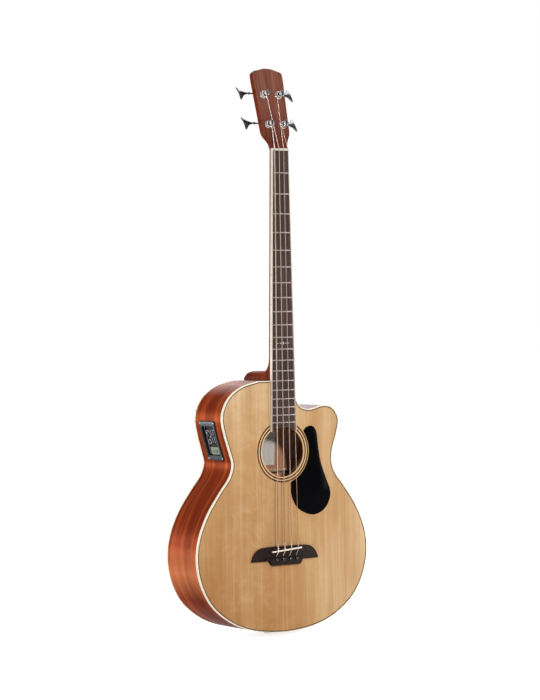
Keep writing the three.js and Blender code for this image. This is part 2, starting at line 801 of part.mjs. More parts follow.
// Shaft and headstock as one run of sections, from the body's shoulder to the head's tip.
function neckRun() {
  const join = bodyLength + gap
  const flat = (z) => (x, y) => v3(x, y, z)
  const shaft = (height, depth) =>
    neckSection(fretboardHalf(join + height) - gap, depth, shaftPower, flat(join + height))
  const fillet = filletShares.map((share) => {
    const up = heelFillet * (1 - share)
    const depth = neckDepthAtHeel + heelFillet - Math.sqrt(heelFillet ** 2 - up ** 2)
    return shaft(heelHeight + heelFillet * share, depth)
  })
  const head = [...headstockShares, [headTipShare, 1]].map(([a, b]) => {
    const blend = THREE.MathUtils.smoothstep(b, 0, headSquareShare)
    const s = headstockLength * b
    const power = mix(shaftPower, headPower, blend)
    const place = (x, y) => headPoint(x, woodFace + y, s)
    return neckSection(headstockHalfWidth * a, headstockThickness, power, place)
  })
  const foot = shaft(0, neckDepthAtHeel + heelFillet)
  const top = neckSection(fretboardHalf(nutZ), neckDepthAtNut, shaftPower, flat(nutZ))
  return loft([foot, ...fillet, top, ...head])
}

// How far the heel stands above the body at a depth behind the soundboard.
function heelRise(y, depth) {
  const into = Math.max(y - (depth - heelCornerRadius), 0)
  const corner = heelCornerRadius - Math.sqrt(Math.max(heelCornerRadius ** 2 - into ** 2, 0))
  return heelHeight - corner * heelCornerShare
}

function heelSection(y, rise, half) {
  const steps = 8
  return [...Array(steps + 1).keys()].map((k) => {
    const angle = (Math.PI * k) / steps
    const x = -Math.sign(Math.cos(angle)) * Math.abs(Math.cos(angle)) ** heelPower
    return v3(x * half, y, bodyLength + gap + rise * Math.sin(angle) ** heelPower)
  })
}

function heel() {
  const depth = depthAtNeck - heelCapThickness - gap
  const topHalf = fretboardHalf(bodyLength) - gap
  const corner = [1, 0.6, 0.3, 0.1, 0].map((share) => depth - heelCornerRadius * share)
  return loft([gap, neckDepthAtHeel, ...corner].map((y) => {
    const half = mix(topHalf, heelHalfWidth, y / depth)
    return heelSection(y, heelRise(y, depth), half)
  }))
}

function heelCap() {
  const depth = depthAtNeck - heelCapThickness - gap
  const near = depth + gap
  const rise = heelRise(depth, depth)
  return loft([near, depthAtNeck].map((y) => heelSection(y, rise, heelHalfWidth)))
}

function headstockPoints() {
  const right = headstockShares.map(([a, b]) => v2(headstockHalfWidth * a, headstockLength * b))
  const left = right.map((p) => v2(-p.x, p.y)).reverse()
  return [...right, v2(0, headstockLength), ...left]
}

const tilt = (geometry) => geometry.rotateX(-headTilt).translate(0, -headstockDrop, headstockFoot)

const tunerPlaces = [
  { x: -lowerPostOffset, s: lowerPostHeight }, { x: -upperPostOffset, s: upperPostHeight },
  { x: upperPostOffset, s: upperPostHeight }, { x: lowerPostOffset, s: lowerPostHeight },
]
const bushingRadius = postRadius + gap + bushingWall

function postHoles(y0, y1) {
  return tunerPlaces.map(({ x, s }) => disc(bushingRadius + gap, y0, y1).translate(x, 0, s))
}

function rodTunnel() {
  const near = rodUnderFretboard - gap
  const half = rodWidth / 2 + gap
  return box(-half, half, near, near + rodDepth + 2 * gap, 0, nutZ - rodStopBelowNut)
}

function neck() {
  const holes = postHoles(-overrun, headBack + overrun).map(tilt)
  return cut(fuse(neckRun(), heel()), ...holes, rodTunnel())
}

function veneer() {
  return cut(plate(headstockPoints(), veneerThickness), ...postHoles(-overrun, veneerThickness + overrun))
}

// The six-sided nut on the end of the rod, or the room for it.
function rodNut(radius, z, length) {
  const middle = rodUnderFretboard + rodDepth / 2
  return disc(radius, -length, 0, leadFlats).rotateX(-Math.PI / 2).translate(0, middle, z)
}

// The rod in the neck's tunnel, with the nut that a key turns through the soundhole.
function trussRod() {
  const half = rodWidth / 2
  const low = bodyLength - sideThickness - gap - neckBlockHeight - gap
  const high = nutZ - rodStopBelowNut - gap
  const bar = box(-half, half, rodUnderFretboard, rodUnderFretboard + rodDepth, low, high)
  return fuse(bar, rodNut(rodNutRadius, low - gap, rodNutLength))
}

function nut() {
  const half = nutWidth / 2
  const crown = fretboardTop - nutOverFretboard
  const ring = (x) => {
    const top = crown + camber(x)
    const [front, middle, back] = [0, 0.45, 1].map((share) => nutZ + nutThickness * share)
    return [v3(x, -gap, front), v3(x, -gap, back), v3(x, top + nutThickness / 2, back), v3(x, top, middle),
      v3(x, top, front)]
  }
  const stationShares = [-1, -0.5, 0, 0.5, 1]
  const body = loft(stationShares.map((share) => ring(half * share)))
  return cut(body, ...stringRadii.map((radius, i) => wire(nutRoute(i), radius + gap)))
}

// Strings
const stringFoot = fretboardTop - nutOverFretboard + 0.9 * nutOverFretboard / 2
const nutX = (i) => stringAcross(i, stringSpacingAtNut)
const nutStringY = (i) => stringFoot - stringRadii[i]
const saddleStringY = (i) => saddleTop - gap - crownRoom - stringRadii[i]

function postSpiral(i) {
  const { x, s } = tunerPlaces[i]
  const radius = postWaistRadius + gap + stringRadii[i]
  const hand = x < 0 ? 1 : -1
  const start = nutLocal(i)
  const away = v2(x - start.x, s - start.z)
  const heading = Math.atan2(away.y, away.x)
  const first = heading - hand * (Math.asin(radius / away.length()) + Math.PI / 2)
  const pitch = 2 * stringRadii[i] + windingGap
  const low = -(gap + bushingFlangeThickness + gap + stringRadii[i])
  const count = Math.round(stringTurns[i] * windingSteps)
  return [...Array(count + 1).keys()].map((k) => {
    const angle = first + (hand * 2 * Math.PI * k) / windingSteps
    const depth = low - (pitch * k) / windingSteps
    return headPoint(x + radius * Math.cos(angle), depth, s + radius * Math.sin(angle))
  })
}

// Where a string leaves the nut, in the headstock's own frame.
function nutLocal(i) {
  const leave = v3(nutX(i), nutStringY(i), nutZ + nutThickness)
  return leave.sub(headPoint(0, 0, 0)).applyAxisAngle(v3(1, 0, 0), headTilt)
}

// Rounds the corner at b with a few points.
function bend(a, b, c, reach = stringBend) {
  const start = b.clone().add(a.clone().sub(b).setLength(reach))
  const end = b.clone().add(c.clone().sub(b).setLength(reach))
  return new THREE.QuadraticBezierCurve3(start, b, end).getPoints(bendSteps)
}

function bridgeCorners(i) {
  const z = stringHoleZ(i)
  const x = pinX(i)
  const foot = soundboardThickness + gap + bridgePlateThickness + ballBelowPlate
  const ball = v3(x, foot + ballLength, z)
  const collar = v3(x, foot, z)
  const rise = v3(x, -bridgeThickness * 0.55, z)
  const crown = v3(x, saddleStringY(i), saddleZAt(x) - saddleThickness / 2)
  return { ball, collar, rise, crown }
}

function bridgeRoute(i) {
  const { rise, crown, collar } = bridgeCorners(i)
  const lead = rise.clone().lerp(collar, 0.8)
  return [lead, ...bend(collar, rise, crown), crown]
}

function nutRoute(i) {
  const x = nutX(i)
  const y = nutStringY(i)
  const lean = overrun / 2
  return [v3(x, y, nutZ - lean), v3(x, y, nutZ + nutThickness / 2), headPointOnLine(i, lean * 2)]
}

// A point on a string a little way past the nut, towards its post.
function headPointOnLine(i, distance) {
  const start = v3(nutX(i), nutStringY(i), nutZ + nutThickness / 2)
  const end = postSpiral(i)[0]
  return start.clone().add(end.sub(start).setLength(distance + nutThickness / 2))
}

function stringRoute(i) {
  const { ball, collar, rise, crown } = bridgeCorners(i)
  const spiral = postSpiral(i)
  const atNut = v3(nutX(i), nutStringY(i), nutZ + nutThickness / 2)
  const top = crown.clone()
  return {
    start: [ball, collar, collar.clone().lerp(rise, 0.08)],
    rest: [...bend(collar, rise, top), ...bend(rise, top, atNut, stringBend / 2),
      ...bend(top, atNut, spiral[0], nutThickness / 4), ...spiral],
  }
}

// The least gap of a winding to itself, measured on its points.
function leastGap(points, radius) {
  let least = Infinity
  points.forEach((a, i) => points.slice(i + windingSteps / 2).forEach((b) => {
    least = Math.min(least, a.distanceTo(b) - 2 * radius)
  }))
  return least
}

function string(i) {
  const radius = stringRadii[i]
  const { start, rest } = stringRoute(i)
  const radii = [ballRadius, ballRadius, radius, ...rest.map(() => radius)]
  const least = leastGap(postSpiral(i), radius).toFixed(2)
  console.log(`string ${stringNames[i]}: least gap of its winding to itself ${least} mm`)
  return wire([...start, ...rest], radii)
}

// Tuning machines, each in its own frame: y runs back from the headstock's face along the post
function tunerPlate() {
  const y = headBack + gap
  const half = plateWidth / 2
  const corner = plateThickness * 2
  const [low, high] = [-plateHeight / 2 + plateRise, plateHeight / 2 + plateRise]
  const sheet = [[half - corner, low], [half, low + corner], [half, high - corner], [half - corner, high],
    [-half + corner, high], [-half, high - corner], [-half, low + corner], [-half + corner, low]]
  const base = plate(sheet.map(([x, z]) => v2(x, z)), plateThickness, y)
  const inner = wormLength / 2 + gap * 3
  const top = gearMiddle + lugHalfWidth
  const lug = (x) => box(x, x + lugThickness, y + plateThickness / 2, top, wormRise - lugHalfWidth,
    wormRise + lugHalfWidth)
  const bore = disc(shaftRadius + gap, -plateWidth, plateWidth, smallFlats).rotateZ(Math.PI / 2)
  bore.translate(0, gearMiddle, wormRise)
  const hole = disc(postRadius + gap, y - overrun, y + plateThickness + overrun)
  return cut(fuse(base, lug(inner), lug(-inner - lugThickness)), bore, hole)
}

function bushing() {
  const under = -gap
  const top = under - bushingFlangeThickness
  const bore = postRadius + gap
  return turned([[bore, bushingLength], [bore, top], [bushingFlangeRadius - gap * 2, top],
    [bushingFlangeRadius, top + gap * 2], [bushingFlangeRadius, under], [bushingRadius, under],
    [bushingRadius, bushingLength], [bore, bushingLength]])
}

// One ring of the gear wheel, turned by the slant of its teeth.
function gearRing(y, turn) {
  const inner = wormRise - shaftRadius - toothHalfDepth * 2 - gap / 2
  const outer = wormRise - shaftRadius - gap
  const half = wormPitch / 4 - gap / 2
  const ring = []
  for (let k = 0; k < gearTeeth; k++) {
    const middle = ((k + 0.5) * 2 * Math.PI) / gearTeeth + turn
    const profile = [[-half * 1.5, inner], [-half * 0.6, outer], [half * 0.6, outer], [half * 1.5, inner]]
    profile.forEach(([offset, radius]) => {
      const angle = middle + offset / gearPitchRadius
      ring.push(v3(radius * Math.sin(angle), y, radius * Math.cos(angle)))
    })
  }
  return ring
}

function tunerPost() {
  const top = -postAboveFace
  const neckTop = top + postHeadThickness
  const gearFace = gearMiddle - gearThickness / 2
  const gearFar = gearMiddle + gearThickness / 2
  const boss = gearPitchRadius * 0.6
  const edge = gap * 3
  const stem = turned([[0, top], [postHeadRadius - edge, top], [postHeadRadius, top + edge],
    [postHeadRadius, neckTop - edge], [postWaistRadius, neckTop + edge],
    [postWaistRadius, -bushingWall * 2], [postRadius, -gap], [postRadius, gearFace + gap],
    [boss, gearFace + gap], [boss, gearFar + edge], [0, gearFar + edge]])
  const lead = (gearThickness / 2) * (wormPitch / (2 * Math.PI * wormPitchRadius)) / gearPitchRadius
  const wheel = loft([gearRing(gearFace, -lead), gearRing(gearFar, lead)])
  const slotHalf = postSlotWidth / 2
  const slot = box(-slotHalf, slotHalf, top - overrun, top + postSlotDepth, -postRadius * 2, postRadius * 2)
  return cut(fuse(stem, wheel), slot)
}

// The worm's thread, one helix round x whose crest faces the gear at x = 0.
function wormThread() {
  const turns = (wormLength - wormPitch) / wormPitch
  const steps = Math.round(turns * wormSteps)
  const half = wormPitch / 4 - gap / 2
  const root = shaftRadius * 0.8
  const crest = shaftRadius + toothHalfDepth * 2
  const section = [[-half * 1.7, root], [-half * 0.6, crest], [half * 0.6, crest], [half * 1.7, root]]
  const rings = []
  for (let k = 0; k <= steps; k++) {
    const turn = (k / steps - 0.5) * turns
    const angle = 2 * Math.PI * turn - Math.PI / 2
    rings.push(section.map(([offset, radius]) => v3(turn * wormPitch + offset, radius * Math.cos(angle),
      radius * Math.sin(angle))))
  }
  return loft(rings)
}

function keyHandle() {
  const right = keyShares.map(([a, b]) => v2(keyRootReach + keyLength * a, keyHalfSpread * b))
  const left = right.map((p) => v2(p.x, -p.y)).reverse()
  const bevel = keyThickness * 0.25
  const shape = new THREE.Shape([...right, ...left])
  const blade = new THREE.ExtrudeGeometry(shape, { depth: keyThickness - 2 * bevel, bevelSegments: 1,
    bevelThickness: bevel, bevelSize: bevel, bevelOffset: -bevel })
  blade.rotateX(Math.PI / 2).translate(0, keyThickness / 2 - bevel, 0)
  return blade.rotateX(THREE.MathUtils.degToRad(-keyTwist))
}

function tunerKey(hand) {
  const end = wormLength / 2 + gap * 3 + lugThickness + gap * 4
  const start = keyRootReach - collarLength * 2
  const rod = disc(shaftRadius, -end, start + gap, smallFlats)
  const collar = turned([[0, start], [collarRadius, start], [collarRadius, start + collarLength],
    [collarRadius * 0.6, keyRootReach], [collarRadius * 0.6, keyRootReach + collarLength],
    [0, keyRootReach + collarLength]], smallFlats)
  const handle = fuse(fuse(rod, collar).rotateZ(-Math.PI / 2), keyHandle())
  if (hand < 0) outward(handle.scale(-1, 1, 1))
  return fuse(handle, wormThread()).translate(0, gearMiddle, wormRise)
}

// Preamp, in a frame whose x points into the body, square to the side
function bassSideAt(z) {
  const bass = outline.slice(tailIndex)
  const above = bass.findIndex((point) => point.y >= z)
  const [low, high] = [bass[above - 1], bass[above]]
  return v2(mix(low.x, high.x, (z - low.y) / (high.y - low.y)), z)
}

const preampBottom = waistHeight + preampAboveWaist
const preampTop = preampBottom + preampLength
const preampSpan = bassSideAt(preampTop).sub(bassSideAt(preampBottom))
const preampMiddle = bassSideAt(preampTop).add(bassSideAt(preampBottom)).divideScalar(2)
const preampTurn = Math.atan2(preampSpan.x, preampSpan.y)
const preampHalf = preampSpan.length() / 2

function preampLocal(point) {
  const offset = point.clone().sub(preampMiddle)
  return v2(offset.x * Math.cos(preampTurn) - offset.y * Math.sin(preampTurn),
    offset.x * Math.sin(preampTurn) + offset.y * Math.cos(preampTurn))
}

// The side's curve behind the bezel, moved out by a distance, in the preamp's frame.
function bezelLine(distance) {
  const stations = 10
  return [...Array(stations + 1).keys()].map((k) => {
    const z = mix(preampBottom - preampMargin, preampTop + preampMargin, k / stations)
    const here = bassSideAt(z)
    const tangent = bassSideAt(z + overrun).sub(bassSideAt(z - overrun)).normalize()
    return preampLocal(here.addScaledVector(v2(-tangent.y, tangent.x), distance))
  })
}

const preampFace = Math.max(...bezelLine(0).map((point) => point.x)) + preampFloor

function preampBodyBox(swell) {
  const half = preampBodyWidth / 2 + swell
  const tall = preampHalf - preampMargin + swell
  return box(-preampBodyDepth / 2, preampBodyDepth + swell, -half, half, -tall, tall)
}

// A bar with rounded corners across y and z, running along x.
function roundedBar(width, height, radius, x0, x1) {
  const corner = (cy, cz, start) => [0, 0.5, 1].map((share) => {
    const angle = start + (share * Math.PI) / 2
    return v2(cy + radius * Math.cos(angle), cz + radius * Math.sin(angle))
  })
  const [y, z] = [width / 2 - radius, height / 2 - radius]
  const points = [...corner(y, z, 0), ...corner(-y, z, Math.PI / 2), ...corner(-y, -z, Math.PI),
    ...corner(y, -z, Math.PI * 1.5)]
  return loft([x0, x1].map((x) => points.map((p) => v3(x, p.x, p.y))))
}

const sliderY = (n) => -preampRecessWidth / 2 + sliderPitch * (n + 0.75)
const knobPlace = { y: preampRecessWidth / 2 - knobRadius * 1.5, z: sliderLift + sliderTravel / 2 }
const buttonPlace = { y: knobPlace.y, z: sliderLift - sliderTravel }
const recessTop = () => preampHalf - preampEndBand

function preampHousing() {
  const outer = bezelLine(gap + preampSeat + preampProud)
  const inner = bezelLine(gap + preampSeat)
  const strip = plate([...outer, ...inner.reverse()], preampWidth, -preampWidth / 2)
  const reach = preampBodyDepth
  const bezel = common(strip, roundedBar(preampWidth, preampHalf * 2, preampCornerRadius, -reach, reach))
  const insideHeight = (preampHalf - preampMargin) * 2
  const behind = plate([...outer, v2(reach, preampHalf * 2), v2(reach, -preampHalf * 2)], preampWidth,
    -preampWidth / 2)
  const inside = common(behind, roundedBar(preampBodyWidth, insideHeight, gap * 2, -reach, reach))
  const recess = roundedBar(preampRecessWidth, recessTop() * 2, preampCornerRadius / 2, -reach, preampFace)
  const deep = preampFace + sliderSlotDepth
  const slotReach = sliderTravel + sliderSlotWidth
  const slots = [0, 1, 2].map((n) => box(-overrun, deep, sliderY(n) - sliderSlotWidth / 2,
    sliderY(n) + sliderSlotWidth / 2, sliderLift - slotReach, sliderLift + slotReach))
  const sunk = (radius, place) =>
    disc(radius + gap, -overrun, deep, smallFlats).rotateZ(-Math.PI / 2).translate(0, place.y, place.z)
  const low = -recessTop() + overrun / 2
  const display = box(-overrun, preampFace + displayDepth, -displayWidth / 2, displayWidth / 2, low,
    low + displayHeight)
  const controls = [sunk(knobShaftRadius, knobPlace), sunk(buttonRadius, buttonPlace)]
  return cut(fuse(bezel, inside), recess, ...slots, ...controls, display)
}

function slider(n) {
  const y = sliderY(n)
  const face = preampFace - gap
  const stem = box(face - gap, preampFace + sliderSlotDepth - gap, y - sliderStem / 2, y + sliderStem / 2,
    -sliderStem, sliderStem)
  const wide = sliderCapWidth / 2
  const tall = sliderCapHeight / 2
  const ring = (x, share) => [[-wide, -tall], [wide, -tall], [wide, tall], [-wide, tall]].map(([a, b]) =>
    v3(x, y + a * share, b * share))
  const cap = loft([ring(face, 1), ring(face - sliderCapProud * 0.6, 1), ring(face - sliderCapProud, 0.7)])
  return fuse(stem, cap).translate(0, 0, sliderLift)
}

function volumeKnob() {
  const face = preampFace - gap
  const deep = preampFace + sliderSlotDepth - gap
  const profile = [[0, deep], [knobShaftRadius, deep], [knobShaftRadius, face], [knobRadius, face],
    [knobRadius * 0.9, face - knobProud], [0, face - knobProud]]
  const body = turned(profile, roundFlats)
  const mark = box(-gap, gap, face - knobProud - overrun, face - knobProud + gap, 0, knobRadius * 0.8)
  return cut(body, mark).rotateZ(-Math.PI / 2).translate(0, knobPlace.y, knobPlace.z)
}

function preampButton() {
  const foot = preampFace + sliderSlotDepth - buttonTravel - gap
  const top = preampFace - buttonProud
  return turned([[0, foot], [buttonRadius, foot], [buttonRadius, top + gap], [buttonRadius - gap, top],
    [0, top]], smallFlats).rotateZ(-Math.PI / 2).translate(0, buttonPlace.y, buttonPlace.z)
}

// The jack in the tail, which also carries the strap
function jackHole(swell) {
  const hole = disc(jackRadius + swell, -overrun * 3, jackLength).rotateX(Math.PI / 2)
  return hole.translate(0, depthAtTail / 2, 0)
}

function endpinJack() {
  const flange = jackFlangeRadius
  const profile = [[jackBore, -jackProud], [flange, -jackProud], [flange, -jackProud * 0.7],
    [jackWaistRadius, -jackProud * 0.5], [jackWaistRadius, -jackProud * 0.3], [flange, -gap * 2],
    [flange, -gap], [jackRadius, -gap], [jackRadius, jackLength], [jackBore, jackLength],
    [jackBore, -jackProud]]
  return turned(profile).rotateX(Math.PI / 2).translate(0, depthAtTail / 2, 0)
}

// Assembly
const hanger = headPoint(0, headBack, hangerAboveNut)
const bass = new THREE.Group()
bass.position.set(-hanger.x, -hanger.y, -hanger.z)

function add(group, name, geometry, material) {
  const mesh = new THREE.Mesh(geometry, material)
  mesh.name = name
  group.add(mesh)
}

const halfSpace = (hand) => box(hand > 0 ? -lowerBoutWidth : -gap / 2, hand > 0 ? gap / 2 : lowerBoutWidth,
  -overrun, depthAtTail * 2, -overrun, nutZ)

function preampRoom() {
  return preampBodyBox(gap).rotateY(preampTurn).translate(preampMiddle.x, preampFromFront + preampWidth / 2,
    preampMiddle.y)
}

function addBody() {
  const seams = [jackHole(gap), rodTunnel()]
  add(bass, 'soundboard', soundboard(), spruce())
  add(bass, 'back_plate', backPlate(), mahogany())
  add(bass, 'side_treble', cut(side(0, tailIndex), halfSpace(1), ...seams), mahogany())
  const bassSide = cut(side(tailIndex, outline.length), halfSpace(-1), ...seams, preampRoom())
  add(bass, 'side_bass', bassSide, mahogany())
  add(bass, 'top_binding', binding(false), ivory())
  add(bass, 'back_binding', binding(true), ivory())
  add(bass, 'top_lining', cut(lining(false), rodTunnel()), blockwood())
  add(bass, 'back_lining', cut(lining(true), preampRoom()), blockwood())
  add(bass, 'neck_block', neckBlock(), blockwood())
  add(bass, 'tail_block', tailBlock(), blockwood())
  add(bass, 'x_brace', xBrace(), spruce())
  add(bass, 'upper_brace', upperBrace(), spruce())
  add(bass, 'tone_bar', toneBar(), spruce())
  backBraceHeights().forEach((z, n) => add(bass, `back_brace_${n + 1}`, backBrace(z), spruce()))
  add(bass, 'bridge_plate', bridgePlate(), blockwood())
  add(bass, 'rosette', rosette(), darkwood())
  add(bass, 'pickguard', pickguard(), blackPlastic())
  add(bass, 'bridge', bridge(), darkwood())
  add(bass, 'saddle', saddle(), ivory())
  add(bass, 'pickup', pickup(), chrome())
  add(bass, 'endpin_jack', endpinJack(), chrome())
}

function addNeck() {
  add(bass, 'neck', neck(), mahogany())
  add(bass, 'heel_cap', heelCap(), darkwood())
  add(bass, 'truss_rod', trussRod(), chrome())
  add(bass, 'fretboard', fretboard(), darkwood())
  add(bass, 'fretboard_binding', fretboardBinding(), ivory())
  add(bass, 'nut', nut(), ivory())
}

function addHeadstock() {
  const head = new THREE.Group()
  head.position.set(0, -headstockDrop, headstockFoot)
  head.rotation.x = -headTilt
  bass.add(head)
  add(head, 'headstock_veneer', veneer(), mahogany())
  tunerPlaces.forEach(({ x, s }, i) => {
    const tuner = new THREE.Group()
    tuner.position.set(x, 0, s)
    head.add(tuner)
    const name = stringNames[i]
    add(tuner, `tuner_plate_${name}`, tunerPlate(), chrome())
    add(tuner, `tuner_bushing_${name}`, bushing(), chrome())
    add(tuner, `tuner_post_${name}`, tunerPost(), chrome())
    add(tuner, `tuner_key_${name}`, tunerKey(Math.sign(x)), darkChrome())
  })
}

function addStrings() {
  stringNames.forEach((name, i) => {
    add(bass, `string_${name}`, string(i), bronze())
    add(bass, `bridge_pin_${name}`, bridgePin(i), blackPlastic())
  })
}

function addPreamp() {
  const unit = new THREE.Group()
  unit.position.set(preampMiddle.x, preampFromFront + preampWidth / 2, preampMiddle.y)
  unit.rotation.y = preampTurn
  bass.add(unit)
  add(unit, 'preamp_housing', preampHousing(), slatePlastic())
  for (let n = 0; n < 3; n++) add(unit, `slider_${n + 1}`, slider(n), slatePlastic())
  add(unit, 'volume_knob', volumeKnob(), slatePlastic())
  add(unit, 'preamp_button', preampButton(), slatePlastic())
}

addBody()
addNeck()
addHeadstock()
addStrings()
addPreamp()

export default bass
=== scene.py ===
# Looks of an acoustic bass guitar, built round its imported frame.
# Shapes are written in millimetres in the body's own frame: y is 0 on the soundboard, z is 0 at the tail.
# Materials, lamps and the camera use the row frame's metres.
import math

import bmesh
import bpy
from mathutils import Matrix, Vector

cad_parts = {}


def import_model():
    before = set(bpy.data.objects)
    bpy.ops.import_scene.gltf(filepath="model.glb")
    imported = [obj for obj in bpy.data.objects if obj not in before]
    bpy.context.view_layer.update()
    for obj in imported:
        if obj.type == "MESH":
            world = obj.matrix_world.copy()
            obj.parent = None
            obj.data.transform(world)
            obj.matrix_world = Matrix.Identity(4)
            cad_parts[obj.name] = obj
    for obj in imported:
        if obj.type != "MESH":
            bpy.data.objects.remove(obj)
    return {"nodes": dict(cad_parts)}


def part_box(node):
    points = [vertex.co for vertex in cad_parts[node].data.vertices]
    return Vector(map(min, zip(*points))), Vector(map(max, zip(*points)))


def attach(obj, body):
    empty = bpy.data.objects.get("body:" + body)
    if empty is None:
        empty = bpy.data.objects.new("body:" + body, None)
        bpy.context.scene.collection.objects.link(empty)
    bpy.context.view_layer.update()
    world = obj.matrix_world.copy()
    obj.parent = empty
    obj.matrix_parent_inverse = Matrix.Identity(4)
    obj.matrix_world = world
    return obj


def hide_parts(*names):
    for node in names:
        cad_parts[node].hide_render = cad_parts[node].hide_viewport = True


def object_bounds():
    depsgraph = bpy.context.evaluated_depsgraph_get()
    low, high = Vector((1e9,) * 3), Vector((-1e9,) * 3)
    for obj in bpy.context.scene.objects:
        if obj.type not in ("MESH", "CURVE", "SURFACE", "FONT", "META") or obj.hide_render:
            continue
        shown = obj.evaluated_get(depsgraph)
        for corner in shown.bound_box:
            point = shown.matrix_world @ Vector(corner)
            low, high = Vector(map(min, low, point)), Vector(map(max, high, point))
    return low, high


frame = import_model()
cad_low, cad_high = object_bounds()

# Places taken from the frame
MM = 0.001
BODY_ORIGIN = Vector((0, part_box("soundboard")[0].y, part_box("top_binding")[0].z))
BODY = Matrix.Translation(BODY_ORIGIN) @ Matrix.Scale(MM, 4)

# Scale and fits
SCALE_LENGTH = 863.6
FRET_COUNT = 20
BODY_JOIN_FRET = 15
GAP = 0.3
PLAY = GAP / 3

# Body
LOWER_BOUT_WIDTH = 452
LOWER_BOUT_HEIGHT = 168
WAIST_WIDTH = 263
WAIST_HEIGHT = 371
UPPER_BOUT_WIDTH = 315
UPPER_BOUT_HEIGHT = 468
BODY_LENGTH = 549.5
HORN_REACH = 151.5
CUTAWAY_ROOT = 26
CUTAWAY_FLOOR = 485.2
DEPTH_AT_NECK = 107.5
DEPTH_AT_TAIL = 131
BACK_BULGE = 7
BACK_ARCH_RADIUS = 4500
BACK_MIDDLE_SHARE = 0.004
SOUNDBOARD_THICKNESS = 3
BACK_THICKNESS = 3
SIDE_THICKNESS = 2.5
BINDING_WIDTH = 2
BINDING_HEIGHT = 6
BINDING_ROUND = 0.8
PURFLING_WIDTHS = (1.4, 0.3, 0.6)
SEAM_HALF_WIDTH = 3
SEAM_PROUD = 0.02
SEAM_SUNK = 0.5
SEAM_END = 1
LABEL_SIDES = (-48, 58.5)
LABEL_ENDS = (358, 462)
LABEL_LIFT = 0.1
LABEL_FACE = 0.35

# Soundhole, rosette and bridge
SOUNDHOLE_RADIUS = 55
SOUNDHOLE_ROUND = 0.4
FRETBOARD_OVER_SOUNDHOLE = 12.8
ROSETTE_RINGS = (58, 59.65, 59.85, 61.5, 64, 65.65, 65.85, 67.5)
BRIDGE_LENGTH = 177
BRIDGE_HEIGHT = 41
BRIDGE_THICKNESS = 9.5
BRIDGE_TIP = 4
BRIDGE_BLOCK = 96
BRIDGE_AHEAD = 8
BRIDGE_BEVEL = 1.1
COVE_SHARE = 0.75
COVE_POWER = 0.9
SADDLE_LENGTH = 78
SADDLE_THICKNESS = 3
SADDLE_PROUD = 4.4
SADDLE_SUNK = 1
SADDLE_ARCH = 0.25
SADDLE_END = 2
SADDLE_END_DROP = 0.9
TREBLE_COMPENSATION = 3.5
BASS_COMPENSATION = 7.5
PIN_SETBACK = 20
PIN_SHANK_RADIUS = 2.6
PIN_SHANK_TIP = 2.4
PIN_SHANK_LENGTH = 3
PIN_HEAD_RADIUS = 3.7
PIN_HEAD_HEIGHT = 3.4
PIN_DOME_FOOT = 1.2
BRIDGE_SPACING = 18
PICKGUARD_THICKNESS = 1.5
PICKGUARD_LENGTH = 195.6
PICKGUARD_WIDTH = 105.4
PICKGUARD_FROM_MIDDLE = 20.2
PICKGUARD_ABOVE_HOLE = 53.8
PICKGUARD_RING = 69.4
PICKGUARD_BEVEL = 0.5

# Neck, fretboard and nut
NUT_WIDTH = 43
NUT_THICKNESS = 5
NUT_OVER = 2.4
NUT_SPACING = 12
NUT_END = 1.2
NUT_END_DROP = 0.5
NUT_SLOT_SHARE = 0.45
FRETBOARD_END_WIDTH = 66.4
FRETBOARD_THICKNESS = 7.5
FRETBOARD_RADIUS = 400
FRETBOARD_BINDING = 1.5
FRETBOARD_TONGUE = 21.6
FRETBOARD_ROUND = 0.4
FRET_WIDTH = 2.6
FRET_HEIGHT = 1.2
FRET_SUNK = 0.3
FRET_SHORT = 0.2
FRET_END_SLOPE = 1.2
FRET_END_SHARE = 0.25
INLAY_PROUD = 0.05
INLAY_SUNK = 0.3
DOT_RADIUS = 1
DOT_PROUD = 0.06
DOT_SUNK = 0.2
DOT_FACE_SHARE = 0.9
DOT_DROP = 3
DOT_PITCH = 7
NECK_DEPTH_NUT = 14
NECK_DEPTH_HEEL = 17
NECK_UNDER_BOARD = 0.1
HEEL_HEIGHT = 20
HEEL_HALF_WIDTH = 28
HEEL_FILLET = 35
HEEL_CORNER = 12
HEEL_CORNER_SHARE = 0.8
HEEL_CAP = 2
HEAD_SQUARE_SHARE = 0.21
SHAFT_POWER = 0.85
HEAD_POWER = 0.12
HEEL_POWER = 0.57

# Headstock and tuning machines
HEAD_ANGLE = 14
HEAD_LENGTH = 182.5
HEAD_HALF_WIDTH = 38.7
HEAD_THICKNESS = 14
VENEER = 2
VENEER_BEVEL = 0.5
VENEER_LAP = 0.05
HEAD_DROP = 2
HEAD_ABOVE_NUT = 1
POSTS = ((-18.8, 53), (-20, 121.5), (20, 121.5), (18.8, 53))
STRING_NAMES = ("e", "a", "d", "g")
STRING_RADII = (1.27, 1.0, 0.8, 0.57)
STRING_TURNS = (1.3, 1.6, 1.9, 2.1)
WINDING_GAP = 0.5
POST_WAIST = 4.5
FLANGE_THICKNESS = 1.5
CROWN_ROOM = 0.3
HEAD_BACK = VENEER + GAP + HEAD_THICKNESS
GEAR_TEETH = 18
GEAR_RADIUS = 7
GEAR_THICKNESS = 4
WORM_PITCH_RADIUS = 2.4
TOOTH_HALF_DEPTH = 0.7
WORM_LENGTH = 9
SHAFT_RADIUS = 1.7
PLATE_THICKNESS = 1.5
PLATE_WIDTH = 25
PLATE_HEIGHT = 36
PLATE_RISE = 3.5
PLATE_CORNER = 3.5
PLATE_BEVEL = 0.6
PLATE_SCREW_INSET = 3
LUG_THICKNESS = 2.2
LUG_HALF = 3.6
LUG_SUNK = 0.5
POST_RADIUS = 6.3
POST_HEAD_RADIUS = 6.8
POST_ABOVE_FACE = 15.5
POST_HEAD_THICKNESS = 3
SLOT_WIDTH = 3
SLOT_DEPTH = 4.5
